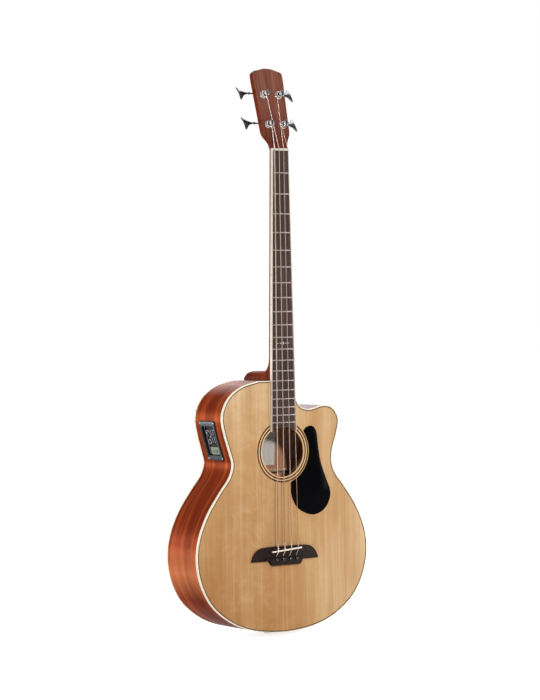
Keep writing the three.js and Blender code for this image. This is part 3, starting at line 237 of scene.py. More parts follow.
FLANGE_RADIUS = 9
BUSHING_WALL = 1.1
BUSHING_DEPTH = 4
BORE_ROUND = 0.3
SLOT_LAP = 0.2
WORM_ROOT_SHARE = 0.8
KEY_ROOT = 28
KEY_LENGTH = 23
KEY_HALF_SPREAD = 18.5
KEY_THICKNESS = 3.6
KEY_BEND = 2.5
KEY_TWIST = 22
KEY_STATION_POWER = 1.4
KEY_TIP_SHARE = 0.09
KEY_TIP_LEFT_SHARE = 0.02
KEY_LOBE_SHARE = 0.72
KEY_LOBE_POWER = 2.2
KEY_END_SHARES = (0.94, 0.05, 0.16)
KEY_FACE_POWER = 0.8
KEY_EVEN_SHARE = 0.06
COLLAR_RADIUS = 3
COLLAR_LENGTH = 4
WORM_RISE = GEAR_RADIUS + WORM_PITCH_RADIUS
WORM_PITCH = 2 * math.pi * GEAR_RADIUS / GEAR_TEETH
GEAR_MIDDLE = HEAD_BACK + PLATE_THICKNESS + 2 * GAP + SHAFT_RADIUS + 2 * TOOTH_HALF_DEPTH

# Preamp and jack
PREAMP_ABOVE_WAIST = 7.3
PREAMP_LENGTH = 87.4
PREAMP_FROM_FRONT = 28.8
PREAMP_WIDTH = 61.4
PREAMP_PROUD = 1.6
PREAMP_SEAT = 0.3
PREAMP_CORNER = 6
PREAMP_EDGE_DEPTH = 1.9
PREAMP_EDGE_WIDTH = 3.6
PREAMP_EDGE_SHARE = 0.6
PREAMP_SCREW_INSETS = (4.6, 5.2)
PREAMP_BODY_WIDTH = 50
PREAMP_BODY_DEPTH = 32
PREAMP_BODY_START = 0.5
PREAMP_MARGIN = 7
PREAMP_RECESS_WIDTH = 45
PREAMP_END_BAND = 12
PREAMP_FLOOR = 0.4
RECESS_CORNER = 4
RECESS_LIP = 0.7
RECESS_DRAFT = 0.3
WINDOW_INSETS = (4, 5)
SLIDER_SLOT = 2.6
SLIDER_TRAVEL = 11
SLIDER_STEM = 1.8
SLIDER_STEM_LAP = 0.3
SLIDER_SLOT_DEPTH = 5
SLIDER_CAP_WIDTH = 5
SLIDER_CAP_HEIGHT = 4
SLIDER_CAP_PROUD = 2.6
SLIDER_CAP_CORNER = 0.4
SLIDER_SIDE_SHARE = 0.4
SLIDER_LINE_SHARE = 0.7
SLIDER_LINE_HALF = 0.3
SLIDER_LINE_PROUD = 0.05
SLIDER_PITCH = 7.5
SLIDER_START_SHARE = 0.75
SLIDER_LIFT = 8
KNOB_RADIUS = 6
KNOB_PROUD = 2.6
KNOB_SHANK_RADIUS = 2
KNOB_SHANK_LENGTH = 4
BUTTON_RADIUS = 3
BUTTON_PROUD = 1.4
BUTTON_TRAVEL = 0.8
BUTTON_DISH = 0.15
POINTER_HALF = 0.35
POINTER_SUNK = 0.3
POINTER_PROUD = 0.06
POINTER_END = 1
DISPLAY_WIDTH = 32
DISPLAY_HEIGHT = 17
DISPLAY_SHIFT = 1
DISPLAY_LIFT = 1.5
DISPLAY_FRAME = (1, 0.8)
DISPLAY_LIFTS = (0.5, 0.62, 0.7)
PRINT_PROUD = 0.12
PRINT_DEPTH = 1
SLOT_LIFT = 0.05
SCALE_LINE = (1.6, 2.3)
SHORT_TICK = 3.3
LONG_TICK = 4.1
TICK_HALF = 0.35
TOP_BAR_SIDES = (-1.6, 2.4)
TOP_BAR_ENDS = (1.2, 2.2)
KNOB_RING_GAP = 1.6
KNOB_RING_TURN = 300
BUTTON_RING_GAP = 1.4
RING_WIDTH = 1.5
PANEL_LINE_INSETS = (8.5, 1.9, 0.4)
PANEL_LINE_DROP = 1
PANEL_LINE_THICKNESS = 0.8
JACK_RADIUS = 6
JACK_FLANGE = 9.5
JACK_PROUD = 8
JACK_WAIST = 6.2
JACK_WAIST_SHARES = (0.5, 0.3)
JACK_BORE = 3.3
JACK_MOUTH_ROUND = 0.4
JACK_LENGTH = 34

# Strings behind the saddle
BRIDGE_PLATE = 3
STRING_TAIL = 1.2
STRING_RISE_SHARE = 0.55
BRIDGE_BEND = 4
SADDLE_BEND = 2

# Outlines as shares, as in the frame's own source
LOWER_BOUT = ((0.345, 0.048), (0.602, 0.173), (0.83, 0.408), (0.951, 0.685), (1, 1))
WAIST = ((0.063, 0.232), (0.3, 0.485), (0.647, 0.712), (0.919, 0.874), (1, 1))
UPPER_BOUT = ((0.266, 0.268), (0.76, 0.68), (1, 1))
SHOULDER = ((0.968, 0.319), (0.857, 0.632), (0.666, 0.863), (0.393, 1))
CUTAWAY = (
    (0, 1), (0.012, 0.697), (0.097, 0.325), (0.177, 0.097), (0.34, 0), (0.478, 0.033), (0.598, 0.092),
    (0.716, 0.114), (0.821, 0.069),
)
HORN = ((0.913, 0.969), (0.977, 0.861), (1, 0.758), (0.982, 0.634), (0.928, 0.42), (0.867, 0.236))
HEADSTOCK = (
    (0.575, 0), (0.62, 0.06), (0.72, 0.113), (0.835, 0.16), (0.885, 0.205), (0.9, 0.285), (0.935, 0.493),
    (0.972, 0.68), (1, 0.91), (0.95, 0.95), (0.55, 0.98), (0.28, 0.995),
)
HEADSTOCK_TIP = ((0.14, 0.999), (0.03, 1))
HEADSTOCK_TIP_SHARE = 0.996
BRIDGE_WING = ((0.17, 1), (0.38, 1), (0.58, 0.985), (0.74, 0.93), (0.855, 0.79), (0.945, 0.56), (1, 0.3))
BRIDGE_CORNERS = ((1, 0.25), (0.615, 0.25))
BRIDGE_NOTCH = ((0.565, 0.365), (0.52, 0.36))
BRIDGE_FOOT = ((0.46, 0.12), (0.42, 0.02), (0.385, 0))
PICKGUARD = (
    (0.302, 0.925), (0.397, 0.982), (0.534, 1), (0.61, 0.976), (0.658, 0.93), (0.7, 0.767), (0.765, 0.583),
    (0.9, 0.394), (1, 0.245), (0.963, 0.143), (0.819, 0.046), (0.583, 0), (0.35, 0.026), (0.144, 0.097),
    (0.009, 0.235), (0, 0.378), (0.09, 0.51),
)
KEY_SPREAD_SHARES = ((0, 0.14), (0.22, 0.19), (0.43, 0.36), (0.6, 0.6), (0.75, 0.86), (0.87, 1), (1, 1))
FRET_CROWN_SHARES = ((-1, 0.1), (-0.8, 0.5), (-0.45, 0.85), (0, 1), (0.45, 0.85), (0.8, 0.5), (1, 0.1))
SLIDER_CAP_SHARES = ((0, 1), (0.6, 1), (0.8, 0.92), (0.97, 0.72), (1, 0.6))

# Eased edges, as pairs of how far inside the full size and how far behind the edge's own level
SADDLE_CREST = ((0, 1), (0.3, 0.3), (0.975, 0))
PIN_RIM = ((0.4, 0), (0, -0.5))
FLANGE_CREST = ((1.6, 0), (0.9, 0.15), (0.3, 0.5), (0, 1.0))
POST_HEAD_FOOT = ((2.3, 0.7), (0.4, 0), (0, -0.5))
POST_HEAD_CREST = ((0, 1.1), (0.3, 0.5), (1.0, 0.15), (1.9, 0))
POST_FLARE = ((1.8, -3.2), (1.3, -2.2), (0, -0.6))
KNOB_CREST = ((0, 0.8), (0.3, 0.25), (0.9, 0))
BUTTON_CREST = ((0, 0.4), (0.15, 0.1), (0.5, 0))
JACK_CREST = ((1, 0), (0.2, 0.5), (0, 1.4), (0.4, 2.4))
JACK_FOOT = ((0.3, -1.2), (0, -0.6), (0, -0.1))

# The nut's top, as pairs of a share of its thickness and how far it lies behind the crest
NUT_CROWN = ((0, 0.3), (0.08, 0), (0.4, 0), (0.75, 1), (1, 2.5))

# Turned details, as pairs of radius and y
PLATE_SCREW = ((0, 0), (2, 0), (1.9, 0.5), (1.3, 0.9), (0.45, 1), (0, 0.6))
PANEL_SCREW = ((2.1, 0.5), (2.1, -0.2), (1.8, -0.5), (1, -0.7), (0.5, -0.7), (0.4, -0.2), (0, -0.2))
GEAR_BOSS = ((4.2, 0.2), (3.9, 0.5), (3.0, 0.9), (0.6, 0.9), (0, 0.5))

# Teeth, as pairs of half widths from their middle and the share of the way from root to crest
GEAR_TOOTH = ((-1.5, 0), (-1.05, 0.6), (-0.6, 1), (0.6, 1), (1.05, 0.6), (1.5, 0))
WORM_THREAD = ((-1.7, 0), (-0.6, 1), (0.6, 1), (1.7, 0))

# The diamonds at the twelfth fret: place across, half width, half height; then the side dots' frets
DIAMONDS = ((0, 2.6, 3.2), (7.5, 3.0, 1.5), (-7.5, 3.0, 1.5), (14.5, 2.6, 1.0), (-14.5, 2.6, 1.0))
SIDE_DOTS = ((3, 1), (5, 1), (7, 1), (9, 1), (12, 2), (15, 1), (17, 1))

# The display's bars: place across, height, width, tallness
DISPLAY_BARS = ((-8, 4, 2.4, 6.4), (-3, 4, 1.2, 6.4), (3, 7.5, 4, 1.2), (3, 4, 4, 1.2), (9, 4, 1.2, 5))


def mix(a, b, share):
    return a + (b - a) * share


def span(low, high, steps):
    """Evenly spaced values from low to high, both included."""
    return [mix(low, high, k / steps) for k in range(steps + 1)]


def quarter(steps):
    """The sine and cosine of even steps through a quarter turn."""
    return [(math.sin(a), math.cos(a)) for a in span(0, math.pi / 2, steps)]


def full_turn(sides):
    return [2 * math.pi * k / sides for k in range(sides)]


def fitted(shares, low, high):
    """Places on the plane, from shares of the way between two corners."""
    return [Vector((mix(low[0], high[0], a), mix(low[1], high[1], b))) for a, b in shares]


def mirrored(line):
    return [Vector((-p.x, p.y)) for p in line]


def level(line, y):
    """A line of the plane at one depth."""
    return [Vector((p.x, y, p.y)) for p in line]


def corners(half_a, half_b):
    return [(a, b) for a in (-half_a, half_a) for b in (-half_b, half_b)]


def eased(radius, y, edge):
    """Pairs of radius and y along an eased edge, whose steps are counted from a radius and a y."""
    return [(radius - inset, y + down) for inset, down in edge]


def fret_distance(number):
    return SCALE_LENGTH * (1 - 2 ** (-number / 12))


NUT_Z = BODY_LENGTH + fret_distance(BODY_JOIN_FRET)
FRETBOARD_END = NUT_Z - fret_distance(FRET_COUNT) - FRETBOARD_TONGUE
FRETBOARD_TOP = -GAP - FRETBOARD_THICKNESS
SOUNDHOLE_Z = FRETBOARD_END + FRETBOARD_OVER_SOUNDHOLE - SOUNDHOLE_RADIUS
SADDLE_Z = NUT_Z - SCALE_LENGTH
SADDLE_MIDDLE = SADDLE_Z - (TREBLE_COMPENSATION + BASS_COMPENSATION) / 2
SADDLE_TOP = -(BRIDGE_THICKNESS + GAP + SADDLE_PROUD)
PIN_Z = SADDLE_MIDDLE - PIN_SETBACK
BRIDGE_TOP_Z = SADDLE_MIDDLE + BRIDGE_AHEAD
HEAD_FOOT = NUT_Z + NUT_THICKNESS + HEAD_ABOVE_NUT
HEAD_TURN = Matrix.Rotation(-math.radians(HEAD_ANGLE), 4, "X")
HEAD = BODY @ Matrix.Translation((0, -HEAD_DROP, HEAD_FOOT)) @ HEAD_TURN
WOOD_FACE = VENEER + GAP


# Mesh building
class Build:
    """Points and faces of one piece, gathered from several shapes."""

    def __init__(self):
        self.points = []
        self.faces = []
        self.marks = []

    def add(self, points, faces, mark=0):
        start = len(self.points)
        self.points.extend(Vector(p) for p in points)
        self.faces.extend(tuple(start + k for k in face) for face in faces)
        self.marks.extend([mark] * len(faces))
        return self

    def loft(self, rings, mark=0, caps=True, round_trip=False):
        """Skins rings of the same number of points."""
        count = len(rings[0])
        spans = len(rings) if round_trip else len(rings) - 1
        faces = []
        for r in range(spans):
            low = r * count
            high = ((r + 1) % len(rings)) * count
            for i in range(count):
                j = (i + 1) % count
                faces.append((low + i, low + j, high + j, high + i))
        if caps and not round_trip:
            faces.append(tuple(reversed(range(count))))
            faces.append(tuple(spans * count + i for i in range(count)))
        return self.add([p for ring in rings for p in ring], faces, mark)

    def turned(self, profile, sides=48, mark=0, place=Matrix()):
        """A turned shape whose axis is y, from pairs of radius and y, closed on the axis or on itself."""
        closed = profile[0] == profile[-1]
        points = []
        rings = []
        for radius, y in profile[:-1] if closed else profile:
            ring = [(radius * math.cos(a), radius * math.sin(a)) for a in full_turn(sides if radius else 1)]
            rings.append(range(len(points), len(points) + len(ring)))
            points.extend(place @ Vector((x, y, z)) for x, z in ring)
        pairs = list(zip(rings, rings[1:]))
        if closed:
            pairs.append((rings[-1], rings[0]))
        faces = []
        for a, b in pairs:
            for k in range(sides):
                j = (k + 1) % sides
                low = (a[k], a[j]) if len(a) > 1 else (a[0],)
                high = (b[j], b[k]) if len(b) > 1 else (b[0],)
                faces.append(low + high)
        return self.add(points, faces, mark)

    def box(self, low, high, mark=0):
        xs, ys, zs = zip(low, high)
        points = [(x, y, z) for x in xs for y in ys for z in zs]
        sides = ((0, 1, 3, 2), (4, 6, 7, 5), (0, 4, 5, 1), (2, 3, 7, 6), (0, 2, 6, 4), (1, 5, 7, 3))
        return self.add(points, sides, mark)

    def sweep(self, points, radius, sides):
        """A closed tube along points."""
        rings = []
        side = Vector((1, 0, 0)).cross(points[1] - points[0])
        for before, point, after in zip(points[:1] + points, points, points[1:] + points[-1:]):
            heading = (after - before).normalized()
            side = (side - heading * side.dot(heading)).normalized()
            other = heading.cross(side)
            spokes = [side * math.cos(a) + other * math.sin(a) for a in full_turn(sides)]
            rings.append([point + spoke * radius for spoke in spokes])
        return self.loft(rings)

    def fill(self, outer, inner, y, mark):
        """Triangles between two closed lines of the plane, at one depth."""
        work = bmesh.new()
        edges = []
        for line in (outer, inner):
            made = [work.verts.new((p.x, p.y, 0)) for p in line]
            edges += [work.edges.new((a, b)) for a, b in zip(made, made[1:] + made[:1])]
        bmesh.ops.triangle_fill(work, use_beauty=True, use_dissolve=False, edges=edges)
        work.verts.index_update()
        points = [(v.co.x, y, v.co.y) for v in work.verts]
        faces = [tuple(v.index for v in f.verts) for f in work.faces]
        work.free()
        return self.add(points, faces, mark)

    def piece(self, name, materials, replaces=(), slot=None, place=BODY, body="instrument", sharp=35):
        """Makes the smooth-shaded piece, from points in the units of its place, riding on a body."""
        mesh = bpy.data.meshes.new(name)
        mesh.from_pydata([place @ p for p in self.points], [], self.faces)
        for material in materials:
            mesh.materials.append(material)
        mesh.polygons.foreach_set("material_index", self.marks)
        work = bmesh.new()
        work.from_mesh(mesh)
        bmesh.ops.recalc_face_normals(work, faces=work.faces)
        work.to_mesh(mesh)
        work.free()
        mesh.shade_smooth()
        mesh.set_sharp_from_angle(angle=math.radians(sharp))
        mesh.update()
        piece = bpy.data.objects.new(name, mesh)
        bpy.context.scene.collection.objects.link(piece)
        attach(piece, body)
        if replaces:
            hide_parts(*replaces)


def plate_rings(outline, face, root, bevel):
    """Rings of a flat plate from its root to its face, whose edge is rounded."""
    away = math.copysign(bevel, root - face)
    rings = [level(outline, root)]
    for sine, cosine in quarter(4):
        rings.append(level(inset_of(outline, bevel * (1 - cosine)), face + away * (1 - sine)))
    return rings


def rounded_rectangle(half_x, half_y, radius, corner_steps=6, long_steps=10):
    """Clockwise points of a rectangle with round corners, the long sides cut into steps."""
    points = []
    for hand_x, hand_y, start in ((1, 1, 90), (1, -1, 0), (-1, -1, -90), (-1, 1, 180)):
        middle = Vector((hand_x * (half_x - radius), hand_y * (half_y - radius)))
        for degrees in span(start, start - 90, corner_steps):
            angle = math.radians(degrees)
            points.append(middle + Vector((math.cos(angle), math.sin(angle))) * radius)
        if hand_x == hand_y:
            first = points[-1]
            last = Vector((first.x, -first.y))
            points.extend(first.lerp(last, k / long_steps) for k in range(1, long_steps))
    return points


def smooth_line(points, steps):
    """A centripetal curve through points on the plane, with the same number of steps between each two."""
    line = []
    padded = [points[0] * 2 - points[1]] + points + [points[-1] * 2 - points[-2]]
    for p0, p1, p2, p3 in zip(padded, padded[1:], padded[2:], padded[3:]):
        d0, d1, d2 = (max((b - a).length, 1e-4) ** 0.5 for a, b in ((p0, p1), (p1, p2), (p2, p3)))
        t1 = ((p1 - p0) / d0 - (p2 - p0) / (d0 + d1) + (p2 - p1) / d1) * d1
        t2 = ((p2 - p1) / d1 - (p3 - p1) / (d1 + d2) + (p3 - p2) / d2) * d1
        square = p1 * -3 + p2 * 3 - t1 * 2 - t2
        cube = p1 * 2 - p2 * 2 + t1 + t2
        line += [p1 + t1 * t + square * t ** 2 + cube * t ** 3 for t in (k / steps for k in range(steps))]
    return line + [points[-1]]


def inset_of(outline, distance):
    """A closed outline moved inwards (to its right as it runs clockwise) by a distance."""
    moved = []
    for before, point, after in zip(outline[-1:] + outline, outline, outline[1:] + outline[:1]):
        first = edge_normal(before, point)
        second = edge_normal(point, after)
        moved.append(point + (first + second) * (distance / (1 + first.dot(second))))
    return moved


def edge_normal(a, b):
    return Vector((b.y - a.y, a.x - b.x)).normalized()


# Materials
WARM = (1, 0.6, 0.35, 1)
PAINTED_FOOT_SHADE = (0.62, 0.42, 0.36, 1)
# Painted light on the strings: a dark reflection of the wood over the soundboard, and a highlight at their
# ends
PAINTED_WOOD_REFLECTION = (0.27, 0.155, 0.085, 1)
PAINTED_END_HIGHLIGHT = (0.6, 0.47, 0.41, 1)

# Heights in metres between which a string's painted reflection and painted highlights fade in
HOLE_FADE = (-0.71, -0.74)
BRIDGE_FADE = (-0.873, -0.863)
NUT_FADE = (-0.012, -0.004)
SADDLE_FADE = (-0.866, -0.878)


def srgb(red, green, blue):
    """A colour as it is read off a screen, 0 to 255, as the shader's linear numbers."""
    def linear(value):
        share = value / 255
        return share / 12.92 if share <= 0.04045 else ((share + 0.055) / 1.055) ** 2.4
    return (linear(red), linear(green), linear(blue), 1)


def shaded(colour, share):
    """A colour made darker or lighter by a share."""
    return tuple(min(c * share, 1) for c in colour[:3]) + (1,)


def add_node(tree, kind, inputs=None, **settings):
    """A shader node whose inputs are values or other nodes' outputs."""
    node = tree.nodes.new(kind)
    for key, value in settings.items():
        setattr(node, key, value)
    for key, value in (inputs or {}).items():
        if isinstance(value, bpy.types.NodeSocket):
            tree.links.new(value, node.inputs[key])
        else:
            node.inputs[key].default_value = value
    return node


class Finish:
    """One procedural material and its nodes."""

    def __init__(self, name, **values):
        self.material = bpy.data.materials.new(name)
        self.material.use_nodes = True
        self.tree = self.material.node_tree
        self.shader = self.tree.nodes["Principled BSDF"]
        self.coords = self.node("ShaderNodeTexCoord").outputs["Object"]
        for key, value in values.items():
            self.shader.inputs[key.replace("_", " ")].default_value = value

    def node(self, kind, inputs=None, **settings):
        return add_node(self.tree, kind, inputs, **settings)

    def scaled(self, x, y, z, source=None):
        """The object's coordinates with each axis stretched by its own count per metre."""
        inputs = {"Vector": source or self.coords, "Scale": (x, y, z)}
        return self.node("ShaderNodeMapping", inputs).outputs[0]

    def noise(self, vector, detail=4.0, roughness=0.5, distortion=0.0):
        inputs = {"Vector": vector, "Scale": 1, "Detail": detail, "Roughness": roughness,
                  "Distortion": distortion}
        return self.node("ShaderNodeTexNoise", inputs).outputs["Fac"]

    def remap(self, value, low, high, to_low=0.0, to_high=1.0):
        inputs = {"Value": value, "From Min": low, "From Max": high, "To Min": to_low, "To Max": to_high}
        return self.node("ShaderNodeMapRange", inputs).outputs["Result"]

    def ramp(self, value, *stops):
        node = self.node("ShaderNodeValToRGB", {"Fac": value})
        band = node.color_ramp
        while len(band.elements) < len(stops):
            band.elements.new(0.5)
        for element, (place, colour) in zip(band.elements, stops):
            element.position = place
            element.color = colour
        return node.outputs["Color"]

    def blend(self, share, a, b, kind="MIX"):
        """A mix of two colours, whose sockets are the mix node's seventh and eighth."""
        inputs = {0: share, 6: a, 7: b}
        return self.node("ShaderNodeMix", inputs, data_type="RGBA", blend_type=kind).outputs[2]

    def math(self, operation, a, b=0.0):
        return self.node("ShaderNodeMath", {0: a, 1: b}, operation=operation).outputs[0]

    def plus(self, a, b):
        return self.math("ADD", a, b)

    def times(self, a, b):
        return self.math("MULTIPLY", a, b)

    def axis(self, name, source=None):
        return self.node("ShaderNodeSeparateXYZ", {0: source or self.coords}).outputs[name]

    def facing(self):
        return self.node("ShaderNodeLayerWeight").outputs["Facing"]

    def colour(self, socket):
        self.tree.links.new(socket, self.shader.inputs["Base Color"])
        return self

    def rough(self, socket):
        self.tree.links.new(socket, self.shader.inputs["Roughness"])
        return self

    def bump(self, height, strength=0.2, depth=0.0002):
        node = self.node("ShaderNodeBump", {"Height": height, "Strength": strength, "Distance": depth})
        self.tree.links.new(node.outputs[0], self.shader.inputs["Normal"])
        return self


def spruce():
    """Two matched halves with fine straight lines, a silky cross figure, golden middle bands and painted
    light.
    """
    finish = Finish("spruce_gloss", Roughness=0.3, Specular_IOR_Level=0.12)
    x, z = finish.axis("X"), finish.axis("Z")
    across = finish.math("ABSOLUTE", x)
    halves = finish.node("ShaderNodeCombineXYZ", {0: across, 1: finish.axis("Y"), 2: z}).outputs[0]
    broad = finish.noise(finish.scaled(15, 8, 1.8, halves), detail=3, roughness=0.6, distortion=0.3)
    silk = finish.noise(finish.scaled(20, 6, 26), detail=6, roughness=0.7, distortion=0.5)
    line = finish.noise(finish.scaled(520, 40, 5, halves), detail=2, roughness=0.7)
    streak = finish.noise(finish.scaled(120, 10, 1.6, halves), detail=3, roughness=0.65)
    # The slope is painted light, lighter on the treble side low on the body; it also lightens the wood
    # towards the neck
    slope = finish.plus(finish.times(x, finish.plus(finish.times(z, -4), -2.52)), finish.times(z, 0.53))
    tone = finish.plus(finish.plus(slope, 0.45), finish.times(broad, 0.8))
    golden, middle, pale = srgb(158, 110, 62), srgb(184, 143, 97), srgb(214, 190, 152)
    base = finish.ramp(tone, (0.02, golden), (0.42, middle), (0.82, pale))
    figured = finish.remap(finish.math("ABSOLUTE", finish.plus(x, 0.075)), 0.02, 0.11, 0.3, 0.12)
    pale_silk = finish.times(finish.remap(silk, 0.5, 0.7), figured)
    base = finish.blend(pale_silk, base, srgb(216, 186, 142))
    dark_silk = finish.times(finish.remap(silk, 0.5, 0.3), figured)
    base = finish.blend(dark_silk, base, srgb(160, 112, 62))
    # Each layer: what it follows, from where to where, how strong at both, and its colour
    for source, low, high, at_low, at_high, colour in (
            (streak, 0.45, 0.8, 0, 0.45, (172, 124, 74)),
            (streak, 0.5, 0.25, 0, 0.28, (214, 188, 150)),
            (line, 0.5, 0.8, 0, 0.3, (156, 108, 62)),
            (across, 0.004, 0.05, 0.2, 0, (166, 112, 58)),
            (across, 0.0002, 0.0009, 0.5, 0, (120, 78, 42))):
        base = finish.blend(finish.remap(source, low, high, at_low, at_high), base, srgb(*colour))
    return finish.colour(base).bump(line, 0.06).material


def inner_spruce(name, dark, pale):
    finish = Finish(name, Roughness=0.6, Specular_IOR_Level=0.1)
    line = finish.noise(finish.scaled(260, 60, 6), roughness=0.6)
    tone = finish.ramp(line, (0.35, srgb(*dark)), (0.7, srgb(*pale)))
    return finish.colour(tone).bump(line, 0.1).material


def mahogany(name, streaks, pores, tones, roughness, gloss=0.02, foot=None, painted_sheen_band=None, **values):
    """Reddish wood in three tones; the streaks and the pores are stretched by their own counts per metre.

    A foot, two heights in metres, paints shade on the wood from the second height down to the first.
    The sheen band, a height and a reach in metres, paints a highlight and a reflection on the sides.
    """
    finish = Finish(name, Roughness=roughness, Specular_IOR_Level=gloss, Specular_Tint=WARM, **values)
    pale, middle, dark = (srgb(*tone) for tone in tones)
    broad = finish.noise(finish.scaled(*streaks), roughness=0.55, distortion=0.25)
    fine = finish.noise(finish.scaled(*pores), roughness=0.65)
    base = finish.ramp(broad, (0.3, dark), (0.5, middle), (0.7, pale))
    base = finish.blend(finish.remap(fine, 0.45, 0.75, 0, 0.5), base, dark)
    base = finish.blend(finish.remap(fine, 0.36, 0.3, 0, 0.5), base, shaded(dark, 0.3))
    if foot:
        # Painted shade, darker towards the foot
        shade = finish.remap(finish.axis("Z"), foot[0], foot[1], 1, 0)
        base = finish.blend(shade, base, PAINTED_FOOT_SHADE, "MULTIPLY")
    if painted_sheen_band:
        # Painted highlight and painted reflection on the sides
        base = painted_sheen(finish, base, broad, *painted_sheen_band)
    return finish.colour(base).bump(fine, 0.12).material


def painted_sheen(finish, base, broad, height, reach):
    """Painted light: a highlight in the figure round a height, and a pale reflection where the wood faces
    up.

    The painted reflection needs a grazing view, and is stronger on the treble half than on the bass half.
    """
    # A painted highlight round the height, varied by the figure
    away = finish.math("ABSOLUTE", finish.math("SUBTRACT", finish.axis("Z"), height))
    glow = finish.times(finish.remap(away, reach, 0), finish.remap(broad, 0.3, 0.7, 0.6, 1))
    base = finish.blend(glow, base, srgb(206, 124, 82))
    # A painted reflection of the pale backdrop where the wood faces up, seen at grazing views
    up = finish.axis("Z", finish.node("ShaderNodeNewGeometry").outputs["Normal"])
    painted_backdrop_reflection = finish.times(finish.remap(finish.facing(), 0.45, 0.72), finish.remap(up, 0.72, 0.93))
    painted_backdrop_reflection = finish.times(painted_backdrop_reflection, finish.remap(finish.axis("X"), -0.02, 0.05, 0.22, 0.9))
    return finish.blend(painted_backdrop_reflection, base, srgb(200, 190, 196))


def plain(name, colour, roughness, gloss, bump=0.05, speckle=900, vary=0.06):
    """A plastic, bone or lacquer with a slight variation in its colour and surface."""
    finish = Finish(name, Roughness=roughness, Specular_IOR_Level=gloss)
    grain = finish.noise(finish.scaled(speckle, speckle, speckle), detail=3)
    colour = srgb(*colour)
    tone = finish.ramp(grain, (0.3, shaded(colour, 1 - vary)), (0.7, shaded(colour, 1 + vary)))
    return finish.colour(tone).bump(grain, bump, 0.00005).material


def metal(name, colour, roughness, streaks=0.1, painted_reflections=False):
    """A metal; painted reflections of a lit studio can make it dark and bright in turns as it curves away.
    """
    finish = Finish(name, Roughness=roughness, Metallic=1.0)
    wear = finish.noise(finish.scaled(160, 160, 160), detail=5, roughness=0.6)
    tone = finish.ramp(wear, (0.3, shaded(colour, 0.82)), (0.65, colour))
    if painted_reflections:
        # Painted reflections: dark and bright bands by how far the surface faces away
        stops = ((0.0, 0.55, 0.56), (0.16, 1, 1), (0.3, 0.12, 0.13), (0.44, 0.2, 0.21), (0.56, 1, 1),
                 (0.72, 0.25, 0.26), (0.9, 0.9, 0.92))
        greys = [(place, (grey, grey, blue, 1)) for place, grey, blue in stops]
        bands = finish.ramp(finish.facing(), *greys)
        tone = finish.blend(1.0, tone, bands, "MULTIPLY")
    finish.colour(tone)
    return finish.rough(finish.remap(wear, 0.3, 0.7, roughness, roughness + streaks)).material


def wound(name, colour):
    """A string's wrap wire, a fine pattern along its length.

    It has a painted reflection of the wood from the soundhole to the bridge, and painted highlights at both
    ends.
    """
    finish = Finish(name, Roughness=0.3, Metallic=1.0)
    wave = finish.node("ShaderNodeTexWave", {"Vector": finish.coords, "Scale": 620.0}, bands_direction="Z")
    turns = wave.outputs["Fac"]
    tone = finish.ramp(turns, (0.2, shaded(colour, 0.62)), (0.75, colour))
    z = finish.axis("Z")
    # A painted reflection of the wood between the soundhole and the bridge, darker than the wire
    painted_reflection_share = finish.times(finish.remap(z, *HOLE_FADE), finish.remap(z, *BRIDGE_FADE))
    tone = finish.blend(painted_reflection_share, tone, PAINTED_WOOD_REFLECTION)
    # Painted highlights at the nut and at the saddle
    ends = finish.math("MAXIMUM", finish.remap(z, *NUT_FADE), finish.remap(z, *SADDLE_FADE))
    tone = finish.blend(ends, tone, PAINTED_END_HIGHLIGHT)
    return finish.colour(tone).bump(turns, 0.5).material


def rosewood(name, pale, dark, roughness, gloss):
    finish = Finish(name, Roughness=roughness, Specular_IOR_Level=gloss)
    dark = srgb(*dark)
    streak = finish.noise(finish.scaled(170, 90, 5), detail=5, roughness=0.65, distortion=0.3)
    pores = finish.noise(finish.scaled(900, 400, 45), detail=2)
    base = finish.ramp(streak, (0.35, dark), (0.7, srgb(*pale)))
    base = finish.blend(finish.remap(pores, 0.62, 0.7, 0, 0.6), base, shaded(dark, 0.4))
    return finish.colour(base).bump(pores, 0.15).material


SPRUCE = spruce()
INNER_SPRUCE = inner_spruce("bare_spruce", (190, 150, 108), (216, 184, 144))
# A darker spruce for the X brace: painted shade
PAINTED_SHADE_SPRUCE = inner_spruce("painted_shade_spruce", (74, 52, 36), (98, 72, 50))
# The sides' foot is painted shade at the bottom; their sheen band is a painted highlight and a painted
# reflection
SIDE_WOOD = mahogany("side_mahogany", (3, 62, 3), (24, 620, 24),
                     ((162, 76, 38), (126, 46, 20), (84, 28, 12)), 0.35, gloss=0.005,
                     foot=(-1.06, -1.0), painted_sheen_band=(-0.925, 0.06), Metallic=0.06)
BACK_WOOD = mahogany("back_mahogany", (46, 6, 2.5), (460, 60, 14),
                     ((164, 68, 30), (130, 44, 16), (88, 27, 10)), 0.36)
NECK_WOOD = mahogany("neck_mahogany", (30, 30, 3), (420, 420, 10),
                     ((138, 56, 27), (112, 40, 15), (78, 27, 11)), 0.4, gloss=0.008)
# The veneer's foot paints shade on the headstock's lower part; the back seam strip lies below it and takes
# all of it
VENEER_WOOD = mahogany("veneer", (190, 14, 5), (620, 90, 9), ((134, 86, 72), (118, 73, 60), (94, 52, 41)),
                       0.34, foot=(0.0, 0.09))
INNER_MAHOGANY = mahogany("bare_mahogany", (30, 40, 3), (300, 300, 12),
                          ((212, 160, 128), (196, 142, 110), (168, 114, 84)), 0.65)
